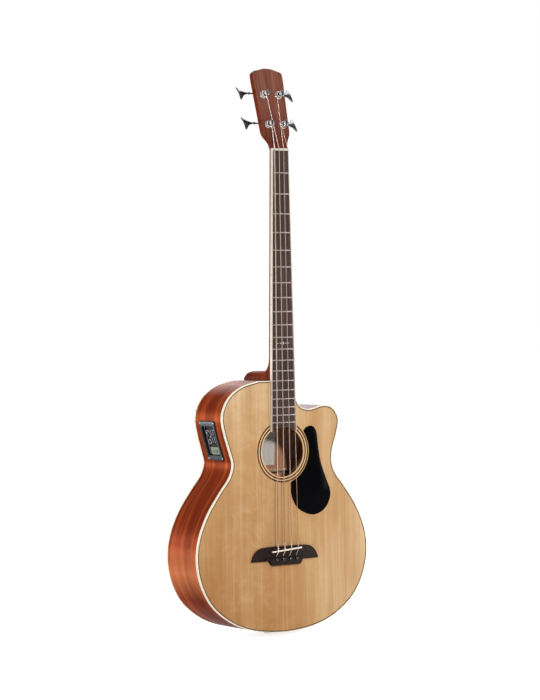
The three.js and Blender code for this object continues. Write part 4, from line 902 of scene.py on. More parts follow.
# A darker bare mahogany for the sides' inner sheet: painted shade
PAINTED_SHADE_SIDE_WOOD = mahogany("painted_shade_side_mahogany", (3, 62, 3), (24, 620, 24),
                           ((92, 56, 42), (78, 46, 33), (58, 33, 24)), 0.65)
BLOCK_WOOD = mahogany("block_wood", (20, 20, 4), (200, 200, 12),
                      ((190, 142, 98), (172, 122, 80), (146, 100, 62)), 0.65)
FRETBOARD_WOOD = rosewood("fretboard_rosewood", (80, 60, 52), (42, 30, 25), 0.48, 0.14)
BRIDGE_WOOD = rosewood("bridge_rosewood", (40, 24, 19), (17, 10, 8), 0.32, 0.1)
CREAM = plain("cream_binding", (238, 230, 208), 0.28, 0.2)
# A darker copy of the cream for the fretboard's binding: painted shade
PAINTED_SHADE_CREAM = plain("painted_shade_binding", (206, 197, 176), 0.35, 0.2)
BONE = plain("bone", (204, 194, 182), 0.35, 0.2)
BLACK_LINE = plain("black_line", (22, 13, 9), 0.35, 0.03)
PALE_BAND = plain("rosette_band", (218, 174, 130), 0.35, 0.15)
PALE_LINE = plain("pale_line", (204, 166, 122), 0.35, 0.15)
BLACK_GLOSS = plain("black_gloss", (5, 5, 7), 0.1, 0.015, bump=0.02)
SLATE = plain("slate_plastic", (38, 45, 52), 0.4, 0.12, vary=0.12)
SLATE_DARK = plain("dark_slate", (16, 17, 20), 0.4, 0.06, vary=0.12)
CAP_GREY = plain("control_grey", (20, 21, 24), 0.3, 0.3)
PEARL = plain("pearl_white", (176, 171, 166), 0.3, 0.3)
LEGEND = plain("legend_print", (206, 198, 218), 0.4, 0.1)
PAPER = plain("paper", (220, 215, 204), 0.8, 0.1, speckle=300)
GLASS = plain("display_glass", (128, 134, 116), 0.15, 0.2)
# The chrome carries painted reflections of a lit studio
CHROME = metal("chrome", (0.62, 0.62, 0.63, 1), 0.1, painted_reflections=True)
# Near-black chrome for the key blades and the jack: its darkness paints the dark reflections that chrome
# shows
PAINTED_DARK_CHROME = metal("dark_chrome", (0.05, 0.05, 0.053, 1), 0.14)
NICKEL = metal("fret_nickel", (0.38, 0.335, 0.31, 1), 0.24)
BRONZE = wound("wound_bronze", (0.42, 0.33, 0.29, 1))
PIN_BLACK = plain("pin_black", (7, 7, 9), 0.1, 0.5, bump=0.02)


# Body
def body_outline(steps=8):
    """Clockwise from the middle of the neck joint; also the index of the tail's middle."""
    lower = (LOWER_BOUT_WIDTH / 2, LOWER_BOUT_HEIGHT)
    waist = (WAIST_WIDTH / 2, WAIST_HEIGHT)
    upper = (UPPER_BOUT_WIDTH / 2, UPPER_BOUT_HEIGHT)
    rise = fitted(LOWER_BOUT, (0, 0), lower) + fitted(WAIST, lower, waist)
    bass = rise + fitted(UPPER_BOUT, waist, upper)
    bass += fitted(SHOULDER, (0, UPPER_BOUT_HEIGHT), (upper[0], BODY_LENGTH))
    treble = fitted(CUTAWAY, (CUTAWAY_ROOT, CUTAWAY_FLOOR), (HORN_REACH, BODY_LENGTH))
    treble += fitted(HORN, (CUTAWAY_ROOT, WAIST_HEIGHT), (HORN_REACH, CUTAWAY_FLOOR)) + rise[::-1]
    line = smooth_line(treble + [Vector((0, 0))] + mirrored(bass), steps)
    widest = lower[0]
    kept = [Vector((min(max(p.x, -widest), widest), p.y)) for p in line]
    return [Vector((0, BODY_LENGTH))] + kept, 1 + len(treble) * steps


OUTLINE, TAIL = body_outline()


def back_at(x, z):
    """How deep the back lies at a place; nowhere is it deeper than at the tail."""
    down = 1 - z / BODY_LENGTH
    middle = mix(DEPTH_AT_NECK, DEPTH_AT_TAIL, down) + 4 * BACK_BULGE * down * (1 - down)
    return min(middle, DEPTH_AT_TAIL) - x * x / (2 * BACK_ARCH_RADIUS)


def on_back(x, z, depth):
    """A point at a depth inside the back."""
    return Vector((x, back_at(x, z) - depth, z))


def bindings():
    """Strips round both edges of the body, with their outer corners rounded."""
    section = [(BINDING_ROUND * (1 - sine), BINDING_ROUND * (1 - cosine)) for sine, cosine in quarter(4)]
    section = section[::-1] + [(0, BINDING_HEIGHT), (BINDING_WIDTH, BINDING_HEIGHT), (BINDING_WIDTH, 0)]
    columns = [(inset_of(OUTLINE, inset), depth) for inset, depth in section]
    for node in ("top_binding", "back_binding"):
        rings = []
        for i in range(len(OUTLINE)):
            spots = [(line[i].x, line[i].y, depth) for line, depth in columns]
            if node == "top_binding":
                rings.append([Vector((x, depth, z)) for x, z, depth in spots])
            else:
                rings.append([on_back(x, z, depth) for x, z, depth in spots])
        Build().loft(rings, round_trip=True).piece(f"{node}_strip", [CREAM], [node], "cream_plastic")


def circle(radius, sides=96):
    return [Vector((radius * math.sin(a), SOUNDHOLE_Z + radius * math.cos(a))) for a in full_turn(sides)]


def soundboard():
    """The top's wood, with purfling round its edge and rings round the soundhole inlaid flush."""
    wood, black, line, band, under = range(5)
    build = Build()
    inset = BINDING_WIDTH + PLAY
    edges = [inset_of(OUTLINE, inset)]
    for width, mark in zip(PURFLING_WIDTHS, (black, line, black)):
        inset += width
        edges.append(inset_of(OUTLINE, inset))
        build.loft([level(edge, 0) for edge in edges[-2:]], mark, caps=False)
    build.fill(edges[-1], circle(ROSETTE_RINGS[-1]), 0, wood)
    small = SOUNDHOLE_ROUND / 4
    hole = [(SOUNDHOLE_RADIUS + SOUNDHOLE_ROUND, 0), (SOUNDHOLE_RADIUS + small, small),
            (SOUNDHOLE_RADIUS, SOUNDHOLE_ROUND), (SOUNDHOLE_RADIUS, SOUNDBOARD_THICKNESS)]
    rings = [level(circle(radius), 0) for radius in ROSETTE_RINGS[::-1] + (hole[0][0],)]
    for outer, inner, mark in zip(rings, rings[1:], (black, line, black, band) * 2):
        build.loft([outer, inner], mark, caps=False)
    build.loft([level(circle(radius), y) for radius, y in hole], wood, caps=False)
    build.loft([level(edges[0], y) for y in (0, SOUNDBOARD_THICKNESS)], wood, caps=False)
    build.fill(edges[0], circle(SOUNDHOLE_RADIUS), SOUNDBOARD_THICKNESS, under)
    build.piece("soundboard_top", [SPRUCE, BLACK_LINE, PALE_LINE, PALE_BAND, INNER_SPRUCE],
                ["soundboard", "rosette"], "spruce")


def sides():
    """The bent sides, open behind the preamp, with bare wood darkened by painted shade on their inner
    sheet.
    """
    across = 24
    rim = BINDING_HEIGHT + PLAY
    inner_line = inset_of(OUTLINE, SIDE_THICKNESS)
    for half, run in (("treble", range(0, TAIL + 1)), ("bass", range(TAIL, len(OUTLINE) + 1))):
        rings = []
        for i in run:
            p, q = OUTLINE[i % len(OUTLINE)], inner_line[i % len(OUTLINE)]
            depths = span(rim, back_at(p.x, p.y) - rim, across)
            outer = [Vector((p.x, y, p.y)) for y in depths]
            rings.append(outer + [Vector((q.x, y, q.y)) for y in depths[::-1]])
        build = Build().loft(rings)
        if half == "bass":
            cut_window(build)
        row = len(rings[0])
        # Mark 1, the inner sheet, takes the darker wood as painted shade
        build.marks = [int(all(k % row > across for k in face)) for face in build.faces]
        build.piece(f"bent_side_{half}", [SIDE_WOOD, PAINTED_SHADE_SIDE_WOOD], [f"side_{half}"], "mahogany",
                    sharp=50)


def cut_window(build):
    """Leaves out the faces behind the preamp's body."""
    low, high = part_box("preamp_housing")
    middle = BODY.inverted() @ ((low + high) / 2)
    half_y = (high.y - low.y) / MM / 2 - WINDOW_INSETS[0]
    half_z = (high.z - low.z) / MM / 2 - WINDOW_INSETS[1]
    kept = []
    for face in build.faces:
        centre = sum((build.points[k] for k in face), Vector()) / len(face)
        inside = abs(centre.y - middle.y) < half_y and abs(centre.z - middle.z) < half_z
        if not (inside and centre.x < 0 and len(face) == 4):
            kept.append(face)
    build.faces = kept


def back():
    """The arched back, bare inside, and the strip on its seam."""
    edge = inset_of(OUTLINE, BINDING_WIDTH + PLAY)
    middle = Vector((0, (LOWER_BOUT_HEIGHT + WAIST_HEIGHT) / 2))
    shares = [BACK_MIDDLE_SHARE] + span(0, 1, 14)[1:]
    rings = []
    for share, depth in [(s, 0) for s in shares] + [(s, BACK_THICKNESS) for s in shares[::-1]]:
        spots = [middle.lerp(p, share) for p in edge]
        rings.append([on_back(s.x, s.y, depth) for s in spots])
    build = Build().loft(rings)
    inner = len(shares) * len(edge)
    build.marks = [int(min(face) >= inner) for face in build.faces]
    build.piece("arched_back", [BACK_WOOD, INNER_MAHOGANY], ["back_plate"], "mahogany")
    section = ((-SEAM_HALF_WIDTH, -SEAM_PROUD), (SEAM_HALF_WIDTH, -SEAM_PROUD),
               (SEAM_HALF_WIDTH, SEAM_SUNK), (-SEAM_HALF_WIDTH, SEAM_SUNK))
    start = BINDING_WIDTH + SEAM_END
    rows = [[on_back(x, z, depth) for x, depth in section] for z in span(start, BODY_LENGTH - start, 40)]
    Build().loft(rows).piece("back_seam_strip", [VENEER_WOOD], slot="mahogany")


def label():
    """A plain paper label on the inside of the back."""
    rows = []
    columns = span(*LABEL_SIDES, 10)
    for z in span(*LABEL_ENDS, 12):
        face = [on_back(x, z, BACK_THICKNESS + LABEL_FACE) for x in columns]
        rows.append(face + [on_back(x, z, BACK_THICKNESS + LABEL_LIFT) for x in columns[::-1]])
    Build().loft(rows).piece("paper_label", [PAPER])


# Bridge
def string_across(i, spacing):
    return (i - (len(STRING_RADII) - 1) / 2) * spacing


def saddle_z_at(x):
    return SADDLE_Z - mix(BASS_COMPENSATION, TREBLE_COMPENSATION, 0.5 + x / (BRIDGE_SPACING * 3))


def bridge_outline():
    low = (0, BRIDGE_TOP_Z - BRIDGE_HEIGHT)
    high = (BRIDGE_LENGTH / 2, BRIDGE_TOP_Z)
    wing, edge, notch, foot = (fitted(shares, low, high) for shares in
                               (BRIDGE_WING, BRIDGE_CORNERS, BRIDGE_NOTCH, BRIDGE_FOOT))
    right = smooth_line(wing, 6) + edge
    right += smooth_line(edge[1:] + notch, 3)[1:] + smooth_line(notch[1:] + foot, 5)[1:]
    return right + mirrored(right[::-1])


def bridge_front(x):
    """How far the bridge's face stands in front of the soundboard at a place across it."""
    half, block = BRIDGE_LENGTH / 2, BRIDGE_BLOCK / 2
    if abs(x) <= block:
        return BRIDGE_THICKNESS
    share = (abs(x) - block) / (half - block)
    cove = mix(BRIDGE_THICKNESS, BRIDGE_TIP, COVE_SHARE)
    if share < 0.5:
        return mix(BRIDGE_THICKNESS, cove, math.sin(share * math.pi) ** COVE_POWER)
    return mix(cove, BRIDGE_TIP, share * 2 - 1)


def bridge():
    """The bridge's body, whose face is skinned across from its lower to its upper edge."""
    outline = bridge_outline()
    rings = [level(outline, -PLAY)]
    for sine, cosine in quarter(4):
        inner = inset_of(outline, BRIDGE_BEVEL * (1 - cosine))
        foot = BRIDGE_BEVEL * (1 - sine) - GAP
        rings.append([Vector((p.x, foot - bridge_front(p.x), p.y)) for p in inner])
    build = Build().loft(rings, caps=False)
    count = len(outline)
    last = len(build.points) - count
    for k in range(count // 2 - 1):
        far = last + count - 1 - k
        build.faces.append((last + k, last + k + 1, far - 1, far))
        build.marks.append(0)
    build.piece("bridge_body", [BRIDGE_WOOD], ["bridge"], "rosewood", sharp=40)


def saddle():
    """The bone under the strings, turned by its slant, with a soft crest and rounded ends."""
    slant = math.atan2(BASS_COMPENSATION - TREBLE_COMPENSATION, BRIDGE_SPACING * 3)
    place = Matrix.Translation((0, 0, SADDLE_MIDDLE)) @ Matrix.Rotation(-slant, 4, "Y")
    half = SADDLE_LENGTH / 2
    thick = SADDLE_THICKNESS / 2
    rows = []
    for x in span(-half, half, 24):
        end = 1 - min(1, (half - abs(x)) / SADDLE_END)
        top = SADDLE_TOP + SADDLE_ARCH * (x / half) ** 2 + SADDLE_END_DROP * end * end
        rear = [(SADDLE_SUNK - GAP - BRIDGE_THICKNESS, thick)]
        rear += [(top + down, thick - inset) for inset, down in SADDLE_CREST]
        section = rear + [(y, -z) for y, z in rear[::-1]]
        rows.append([place @ Vector((x, y, z)) for y, z in section])
    Build().loft(rows).piece("saddle_bone", [CREAM], ["saddle"], "cream_plastic")


def bridge_pins():
    """Pins with a domed head, a little clear of the bridge's face."""
    seat = -GAP - BRIDGE_THICKNESS - GAP
    tip = seat + PIN_SHANK_LENGTH
    profile = [(0, tip), (PIN_SHANK_TIP, tip), (PIN_SHANK_RADIUS, seat)]
    profile += eased(PIN_HEAD_RADIUS, seat, PIN_RIM)
    dome = PIN_HEAD_HEIGHT - PIN_DOME_FOOT
    for sine, cosine in quarter(6)[:-1]:
        profile.append((PIN_HEAD_RADIUS * cosine, seat - PIN_DOME_FOOT - dome * sine))
    profile.append((0, seat - PIN_HEAD_HEIGHT))
    for i, name in enumerate(STRING_NAMES):
        place = Matrix.Translation((string_across(i, BRIDGE_SPACING), 0, PIN_Z))
        build = Build().turned(profile, 40, place=place)
        build.piece(f"pin_{name}", [PIN_BLACK], [f"bridge_pin_{name}"], "black_plastic")


def pickguard():
    """The guard's free outline, closed by an arc round the soundhole."""
    top = SOUNDHOLE_Z + PICKGUARD_ABOVE_HOLE
    low = (PICKGUARD_FROM_MIDDLE, top - PICKGUARD_LENGTH)
    line = smooth_line(fitted(PICKGUARD, low, (PICKGUARD_FROM_MIDDLE + PICKGUARD_WIDTH, top)), 8)
    centre = Vector((0, SOUNDHOLE_Z))
    first = next(k for k, p in enumerate(line) if (p - centre).length > PICKGUARD_RING)
    kept = [p for p in line[first:] + line[:first] if (p - centre).length > PICKGUARD_RING]
    start, end = (math.atan2(p.x, p.y - SOUNDHOLE_Z) for p in (kept[-1], kept[0]))
    arc = [centre + Vector((math.sin(a), math.cos(a))) * PICKGUARD_RING for a in span(start, end, 28)[1:-1]]
    rings = plate_rings(kept + arc, -GAP - PICKGUARD_THICKNESS, -PLAY, PICKGUARD_BEVEL)
    Build().loft(rings).piece("pickguard_plate", [BLACK_GLOSS], ["pickguard"], "black_plastic")


# Neck and fretboard
def fretboard_half(z):
    return mix(NUT_WIDTH, FRETBOARD_END_WIDTH, (NUT_Z - z) / (NUT_Z - FRETBOARD_END)) / 2


def camber(x):
    return x * x / (2 * FRETBOARD_RADIUS)


def fretboard_end(x):
    """The height of the board's end, which follows the soundhole's edge."""
    return SOUNDHOLE_Z + math.sqrt(SOUNDHOLE_RADIUS ** 2 - x * x)


def fretboard():
    """The board, cambered across, and the bindings along both its edges."""
    nut_end = NUT_Z - PLAY
    rows = []
    for share in span(-1, 1, 32):
        near = share * (fretboard_half(NUT_Z) - FRETBOARD_BINDING)
        far = share * (fretboard_half(FRETBOARD_END) - FRETBOARD_BINDING)
        low = fretboard_end(far)
        rows.append([Vector((near, -PLAY, nut_end)), Vector((near, FRETBOARD_TOP + camber(near), nut_end)),
                     Vector((far, FRETBOARD_TOP + camber(far), low)), Vector((far, -PLAY, low))])
    Build().loft(rows).piece("fretboard_wood", [FRETBOARD_WOOD], ["fretboard"], "rosewood")
    binding = Build()
    for hand in (-1, 1):
        rings = []
        for z in (nut_end, FRETBOARD_END):
            half = fretboard_half(z)
            inner = half - FRETBOARD_BINDING
            top = FRETBOARD_TOP + camber(half)
            small = FRETBOARD_ROUND / 4
            section = [(inner, -PLAY), (inner, top), (half - FRETBOARD_ROUND, top),
                       (half - small, top + small), (half, top + FRETBOARD_ROUND), (half, -PLAY)]
            ends = [z if z == nut_end else fretboard_end(x) for x, _ in section]
            rings.append([Vector((hand * x, y, end)) for (x, y), end in zip(section, ends)])
        binding.loft(rings)
    # The binding's darker cream is painted shade
    binding.piece("fretboard_edge", [PAINTED_SHADE_CREAM], ["fretboard_binding"], "cream_plastic")


def frets():
    """Crowned wires across the board, set over the wood and stopping at its edge."""
    build = Build()
    wide = FRET_WIDTH / 2
    for n in range(1, FRET_COUNT + 1):
        z = NUT_Z - fret_distance(n)
        half = fretboard_half(z) - FRET_SHORT
        rows = []
        for x in span(-half, half, 12):
            slope = min(1, (half - abs(x)) / FRET_END_SLOPE)
            lift = FRET_HEIGHT * mix(FRET_END_SHARE, 1, math.sin(slope * math.pi / 2))
            base = FRETBOARD_TOP + camber(x)
            top = [Vector((x, base - lift * b, z + a * wide)) for a, b in FRET_CROWN_SHARES]
            rows.append(top + [Vector((x, base + FRET_SUNK, z + a)) for a in (wide, -wide)])
        build.loft(rows)
    build.piece("fret_wires", [NICKEL], slot="chrome", sharp=50)


def inlays():
    """A row of small diamonds before the twelfth fret, and dots along the board's edge."""
    build = Build()
    z = NUT_Z - (fret_distance(11) + fret_distance(12)) / 2
    for x, wide, tall in DIAMONDS:
        lift = FRETBOARD_TOP + camber(x)
        spots = ((x, z + tall), (x + wide, z), (x, z - tall), (x - wide, z))
        build.loft([[Vector((a, y, b)) for a, b in spots] for y in (lift + INLAY_SUNK, lift - INLAY_PROUD)])
    build.piece("twelfth_fret_diamonds", [PEARL], slot="cream_plastic")
    dots = Build()
    face = DOT_RADIUS * DOT_FACE_SHARE
    profile = ((0, DOT_PROUD), (face, DOT_PROUD), (DOT_RADIUS, -DOT_SUNK), (0, -DOT_SUNK))
    for n, count in SIDE_DOTS:
        middle = NUT_Z - (fret_distance(n - 1) + fret_distance(n)) / 2
        for k in range(count):
            z = middle + (k - (count - 1) / 2) * DOT_PITCH
            spot = Matrix.Translation((-fretboard_half(z), FRETBOARD_TOP + DOT_DROP, z))
            dots.turned(profile, 16, place=spot @ Matrix.Rotation(math.pi / 2, 4, "Z"))
    dots.piece("side_dots", [BLACK_LINE], slot="black_plastic")


def rounded_section(half, depth, power, steps=24):
    """Pairs of across and deep round the back of a section; a small power makes it square."""
    pairs = []
    for k in range(steps + 1):
        angle = math.pi * k / steps
        across = -math.copysign(abs(math.cos(angle)) ** power, math.cos(angle)) * half
        pairs.append((across, depth * max(math.sin(angle), 0) ** power))
    return pairs


def head_point(x, y, s):
    """A point of the headstock's own frame in the body's frame; s runs up the headstock."""
    turn = math.radians(HEAD_ANGLE)
    return Vector((x, -HEAD_DROP + y * math.cos(turn) + s * math.sin(turn),
                   HEAD_FOOT + s * math.cos(turn) - y * math.sin(turn)))


def smooth_step(value, low, high):
    share = min(max((value - low) / (high - low), 0), 1)
    return share * share * (3 - 2 * share)


def shaft_section(z, depth):
    section = rounded_section(fretboard_half(z) - NECK_UNDER_BOARD, depth, SHAFT_POWER)
    return [Vector((x, y, z)) for x, y in section]


def neck_run():
    """Sections from the body's shoulder up the shaft and over the headstock."""
    join = BODY_LENGTH + GAP
    rings = [shaft_section(join, NECK_DEPTH_HEEL + HEEL_FILLET)]
    for share in span(0, 1, 12):
        along = share ** 2
        up = HEEL_FILLET * (1 - along)
        depth = NECK_DEPTH_HEEL + HEEL_FILLET - math.sqrt(HEEL_FILLET ** 2 - up ** 2)
        rings.append(shaft_section(join + HEEL_HEIGHT + HEEL_FILLET * along, depth))
    for share in span(0, 1, 8)[1:]:
        z = mix(join + HEEL_HEIGHT + HEEL_FILLET, NUT_Z, share)
        rings.append(shaft_section(z, mix(NECK_DEPTH_HEEL, NECK_DEPTH_NUT, share)))
    line = smooth_line([Vector(p) for p in HEADSTOCK], 5)
    for across, up in [p for p in line if p.y < HEADSTOCK_TIP_SHARE] + [Vector(p) for p in HEADSTOCK_TIP]:
        power = mix(SHAFT_POWER, HEAD_POWER, smooth_step(up, 0, HEAD_SQUARE_SHARE))
        section = rounded_section(HEAD_HALF_WIDTH * across, HEAD_THICKNESS, power)
        rings.append([head_point(x, WOOD_FACE + y - GAP / 2, HEAD_LENGTH * up) for x, y in section])
    return rings


def heel_rise(y, depth):
    """How high the heel stands at a depth, with its corner rounded towards the cap."""
    into = max(y - (depth - HEEL_CORNER), 0)
    corner = HEEL_CORNER - math.sqrt(max(HEEL_CORNER ** 2 - into ** 2, 0))
    return HEEL_HEIGHT - corner * HEEL_CORNER_SHARE


def heel_section(y, rise, half):
    return [Vector((x, y, BODY_LENGTH + GAP + up)) for x, up in rounded_section(half, rise, HEEL_POWER)]


def neck():
    """The neck's shaft, headstock and heel as one piece, and the cap under the heel."""
    run = Build().loft(neck_run())
    depth = DEPTH_AT_NECK - HEEL_CAP - PLAY
    top_half = fretboard_half(BODY_LENGTH) - GAP
    rings = []
    for y in [GAP, NECK_DEPTH_HEEL] + span(depth - HEEL_CORNER, depth, 8):
        rings.append(heel_section(y, heel_rise(y, depth), mix(top_half, HEEL_HALF_WIDTH, y / depth)))
    run.loft(rings)
    run.piece("neck_wood", [NECK_WOOD], ["neck"], "mahogany", sharp=32)
    rise = heel_rise(depth, depth)
    cap = Build().loft([heel_section(y, rise, HEEL_HALF_WIDTH) for y in (depth, DEPTH_AT_NECK)])
    cap.piece("heel_cap_plate", [BRIDGE_WOOD], ["heel_cap"], "rosewood")


def veneer():
    """The headstock's face, clockwise from the top's middle."""
    points = fitted(HEADSTOCK, (0, 0), (HEAD_HALF_WIDTH, HEAD_LENGTH))
    right = smooth_line(points + [Vector((0, HEAD_LENGTH))], 5)
    rings = plate_rings(mirrored(right[:-1]) + right[::-1], 0, WOOD_FACE - VENEER_LAP, VENEER_BEVEL)
    Build().loft(rings).piece("headstock_face", [VENEER_WOOD], ["headstock_veneer"], "mahogany", place=HEAD)


def nut():
    """The nut, cambered like the board, with its rear corner rounded off."""
    half = NUT_WIDTH / 2
    rows = []
    for x in span(-half, half, 40):
        end = 1 - min(1, (half - abs(x)) / NUT_END)
        top = FRETBOARD_TOP - NUT_OVER + camber(x) + NUT_END_DROP * end * end
        section = [(0, -PLAY)] + [(share, top + down) for share, down in NUT_CROWN] + [(1, -PLAY)]
        rows.append([Vector((x, y, NUT_Z + NUT_THICKNESS * share)) for share, y in section])
    Build().loft(rows).piece("nut_bone", [BONE], ["nut"], "cream_plastic")


# Tuning machines, each in its own frame: y runs back from the headstock's face along the post
def tuner_place(i):
    x, s = POSTS[i]
    return HEAD @ Matrix.Translation((x, 0, s))


ALONG_X = Matrix.Rotation(-math.pi / 2, 4, "Z")


def tuner_plate(i, name):
    """A plate with its two lugs and four screws on the headstock's back."""
    near = HEAD_BACK + GAP / 2
    far = HEAD_BACK + GAP + PLATE_THICKNESS
    corner_line = rounded_rectangle(PLATE_WIDTH / 2, PLATE_HEIGHT / 2, PLATE_CORNER)
    outline = [p + Vector((0, PLATE_RISE)) for p in corner_line]
    build = Build().loft(plate_rings(outline, far, near, PLATE_BEVEL))
    inner = WORM_LENGTH / 2 + 3 * GAP
    side = [(far - LUG_SUNK, -LUG_HALF), (far - LUG_SUNK, LUG_HALF)]
    side += [(GEAR_MIDDLE + math.sin(a) * LUG_HALF, math.cos(a) * LUG_HALF) for a in span(0, math.pi, 12)]
    for low in (inner, -inner - LUG_THICKNESS):
        build.loft([[Vector((x, y, WORM_RISE + z)) for y, z in side] for x in (low, low + LUG_THICKNESS)])
    for x, z in corners(PLATE_WIDTH / 2 - PLATE_SCREW_INSET, PLATE_HEIGHT / 2 - PLATE_SCREW_INSET):
        build.turned(PLATE_SCREW, 20, place=Matrix.Translation((x, far, PLATE_RISE + z)))
    build.piece(f"machine_plate_{name}", [CHROME], [f"tuner_plate_{name}"], "chrome", place=tuner_place(i))


def bushing(i, name):
    """The flanged sleeve round the post, on the headstock's face."""
    top = -PLAY - FLANGE_THICKNESS
    bore = POST_RADIUS + GAP
    outer = bore + BUSHING_WALL
    profile = [(bore, BUSHING_DEPTH), (bore, top + BORE_ROUND), (bore + BORE_ROUND, top)]
    profile += eased(FLANGE_RADIUS, top, FLANGE_CREST)
    profile += [(FLANGE_RADIUS, -PLAY), (outer, -PLAY), (outer, BUSHING_DEPTH), (bore, BUSHING_DEPTH)]
    Build().turned(profile, 56).piece(f"post_bushing_{name}", [CHROME], [f"tuner_bushing_{name}"], "chrome",
                                      place=tuner_place(i))


def gear_ring(y, turn):
    """One section of the gear wheel, turned a little from the next so that the teeth lean like the worm."""
    inner = WORM_RISE - SHAFT_RADIUS - TOOTH_HALF_DEPTH * 2 - GAP / 2
    outer = WORM_RISE - SHAFT_RADIUS - GAP
    half = WORM_PITCH / 4 - GAP / 2
    ring = []
    for k in range(GEAR_TEETH):
        middle = (k + 0.5) * 2 * math.pi / GEAR_TEETH + turn
        for offset, share in GEAR_TOOTH:
            angle = middle + offset * half / GEAR_RADIUS
            radius = mix(inner, outer, share)
            ring.append(Vector((radius * math.sin(angle), y, radius * math.cos(angle))))
    return ring


def post(i, name):
    """The slotted post with its gear wheel and the screw that holds the wheel."""
    top = -POST_ABOVE_FACE
    neck_top = top + POST_HEAD_THICKNESS
    floor_y = top + SLOT_DEPTH
    face, far = GEAR_MIDDLE - GEAR_THICKNESS / 2, GEAR_MIDDLE + GEAR_THICKNESS / 2
    stem = [(0, floor_y), (POST_WAIST, floor_y)] + eased(POST_RADIUS, 0, POST_FLARE)
    build = Build().turned(stem + [(POST_RADIUS, face + GAP), (0, face + GAP)])
    head = [(POST_WAIST, floor_y + SLOT_LAP)] + eased(POST_HEAD_RADIUS, neck_top, POST_HEAD_FOOT)
    head += eased(POST_HEAD_RADIUS, top, POST_HEAD_CREST)
    for hand in (-1, 1):
        build.loft([half_moon(hand, radius, y) for radius, y in head])
    lead = (GEAR_THICKNESS / 2) * (WORM_PITCH / (2 * math.pi * WORM_PITCH_RADIUS)) / GEAR_RADIUS
    build.loft([gear_ring(y, turn) for y, turn in zip(span(face, far, 4), span(-lead, lead, 4))])
    build.turned([(GEAR_BOSS[0][0], face)] + [(radius, far + rise) for radius, rise in GEAR_BOSS], 32)
    build.piece(f"string_post_{name}", [CHROME], [f"tuner_post_{name}"], "chrome", place=tuner_place(i),
                body=f"post_{name}")


def half_moon(hand, radius, y):
    """One side of a slotted disc."""
    reach = math.acos(SLOT_WIDTH / 2 / radius)
    return [Vector((hand * radius * math.cos(a), y, radius * math.sin(a))) for a in span(-reach, reach, 20)]


def worm():
    """Sections of the thread along the key's shaft."""
    turns = (WORM_LENGTH - WORM_PITCH) / WORM_PITCH
    half = WORM_PITCH / 4 - GAP / 2
    root, crest = SHAFT_RADIUS * WORM_ROOT_SHARE, SHAFT_RADIUS + TOOTH_HALF_DEPTH * 2
    section = [(offset * half, mix(root, crest, share)) for offset, share in WORM_THREAD]
    rings = []
    for turn in span(-turns / 2, turns / 2, round(turns * 24)):
        angle = 2 * math.pi * turn - math.pi / 2
        along, cos, sin = turn * WORM_PITCH, math.cos(angle), math.sin(angle)
        rings.append([Vector((along + offset, radius * cos, radius * sin)) for offset, radius in section])
    return rings


def along_line(line, place):
    """The value at a place along a line of pairs, or the last one's beyond its end."""
    for (a, low), (b, high) in zip(line, line[1:]):
        if place <= b:
            return mix(low, high, (place - a) / (b - a))
    return line[-1][1]


def key_spread(share):
    """Half the blade's width, as a share, evened out along its length."""
    stops = (max(share - KEY_EVEN_SHARE, 0), share, share + KEY_EVEN_SHARE)
    return sum(along_line(KEY_SPREAD_SHARES, stop) for stop in stops) / 3


def key_blade(hand):
    """Rings along a blade with two lobes, bent a little to the back and rounded over its faces."""
    twist = Matrix.Rotation(math.radians(-KEY_TWIST), 4, "X")
    flat, bulge, drawn_back = KEY_END_SHARES
    rings = []
    for station in span(0, 1, 30):
        share = 1 - (1 - station) ** KEY_STATION_POWER
        thin = min(1, math.sqrt((1 - share) / KEY_TIP_SHARE + KEY_TIP_LEFT_SHARE))
        ring = []
        for angle in full_turn(48):
            v = math.cos(angle)
            corner = max(0, (abs(v) - KEY_LOBE_SHARE) / (1 - KEY_LOBE_SHARE)) ** KEY_LOBE_POWER
            reach = share * (flat + bulge * v * v - drawn_back * corner)
            z = KEY_HALF_SPREAD * key_spread(reach) * v
            y = KEY_BEND * (z / KEY_HALF_SPREAD) ** 2
            swell = math.copysign(abs(math.sin(angle)) ** KEY_FACE_POWER, -math.sin(angle))
            y += swell * KEY_THICKNESS / 2 * thin
            ring.append(twist @ Vector((hand * (KEY_ROOT + KEY_LENGTH * reach), y, z)))
        rings.append(ring)
    return rings


# The key's collar and neck: radius as a share of the collar's, and place along the shaft from its foot
COLLAR = (
    (0.75, 0), (0.95, 0.6), (1, 1.6), (0.95, 2.8), (0.75, 3.6), (0.62, 4), (0.55, 5), (0.6, 8), (0.72, 10),
    (0.5, 13), (0, 14),
)


def tuner_key(i, name):
    """The key with its shaft, collar and worm."""
    hand = -1 if POSTS[i][0] < 0 else 1
    end = WORM_LENGTH / 2 + 3 * GAP + LUG_THICKNESS + 4 * GAP
    start = KEY_ROOT - COLLAR_LENGTH * 2
    profile = [(0, -end), (SHAFT_RADIUS, -end), (SHAFT_RADIUS, start)]
    profile += [(COLLAR_RADIUS * share, start + along) for share, along in COLLAR]
    turn = Matrix.Scale(hand, 4, (1, 0, 0)) @ ALONG_X
    build = Build().turned(profile, 32, 1, turn).loft(worm()).loft(key_blade(hand), 1)
    # The blade's near-black chrome is a painted dark reflection
    build.piece(f"lobed_key_{name}", [CHROME, PAINTED_DARK_CHROME], [f"tuner_key_{name}"], "dark_chrome",
                place=tuner_place(i) @ Matrix.Translation((0, GEAR_MIDDLE, WORM_RISE)), body=f"key_{name}",
                sharp=50)


def tuners():
    for i, name in enumerate(STRING_NAMES):
        tuner_plate(i, name)
        bushing(i, name)
        post(i, name)
        tuner_key(i, name)


# Preamp, in a frame whose x points into the body, square to the side
def bass_side_at(z):
    bass = OUTLINE[TAIL:]
    above = next(k for k, p in enumerate(bass) if p.y >= z)
    low, high = bass[above - 1], bass[above]
    return Vector((mix(low.x, high.x, (z - low.y) / (high.y - low.y)), z))


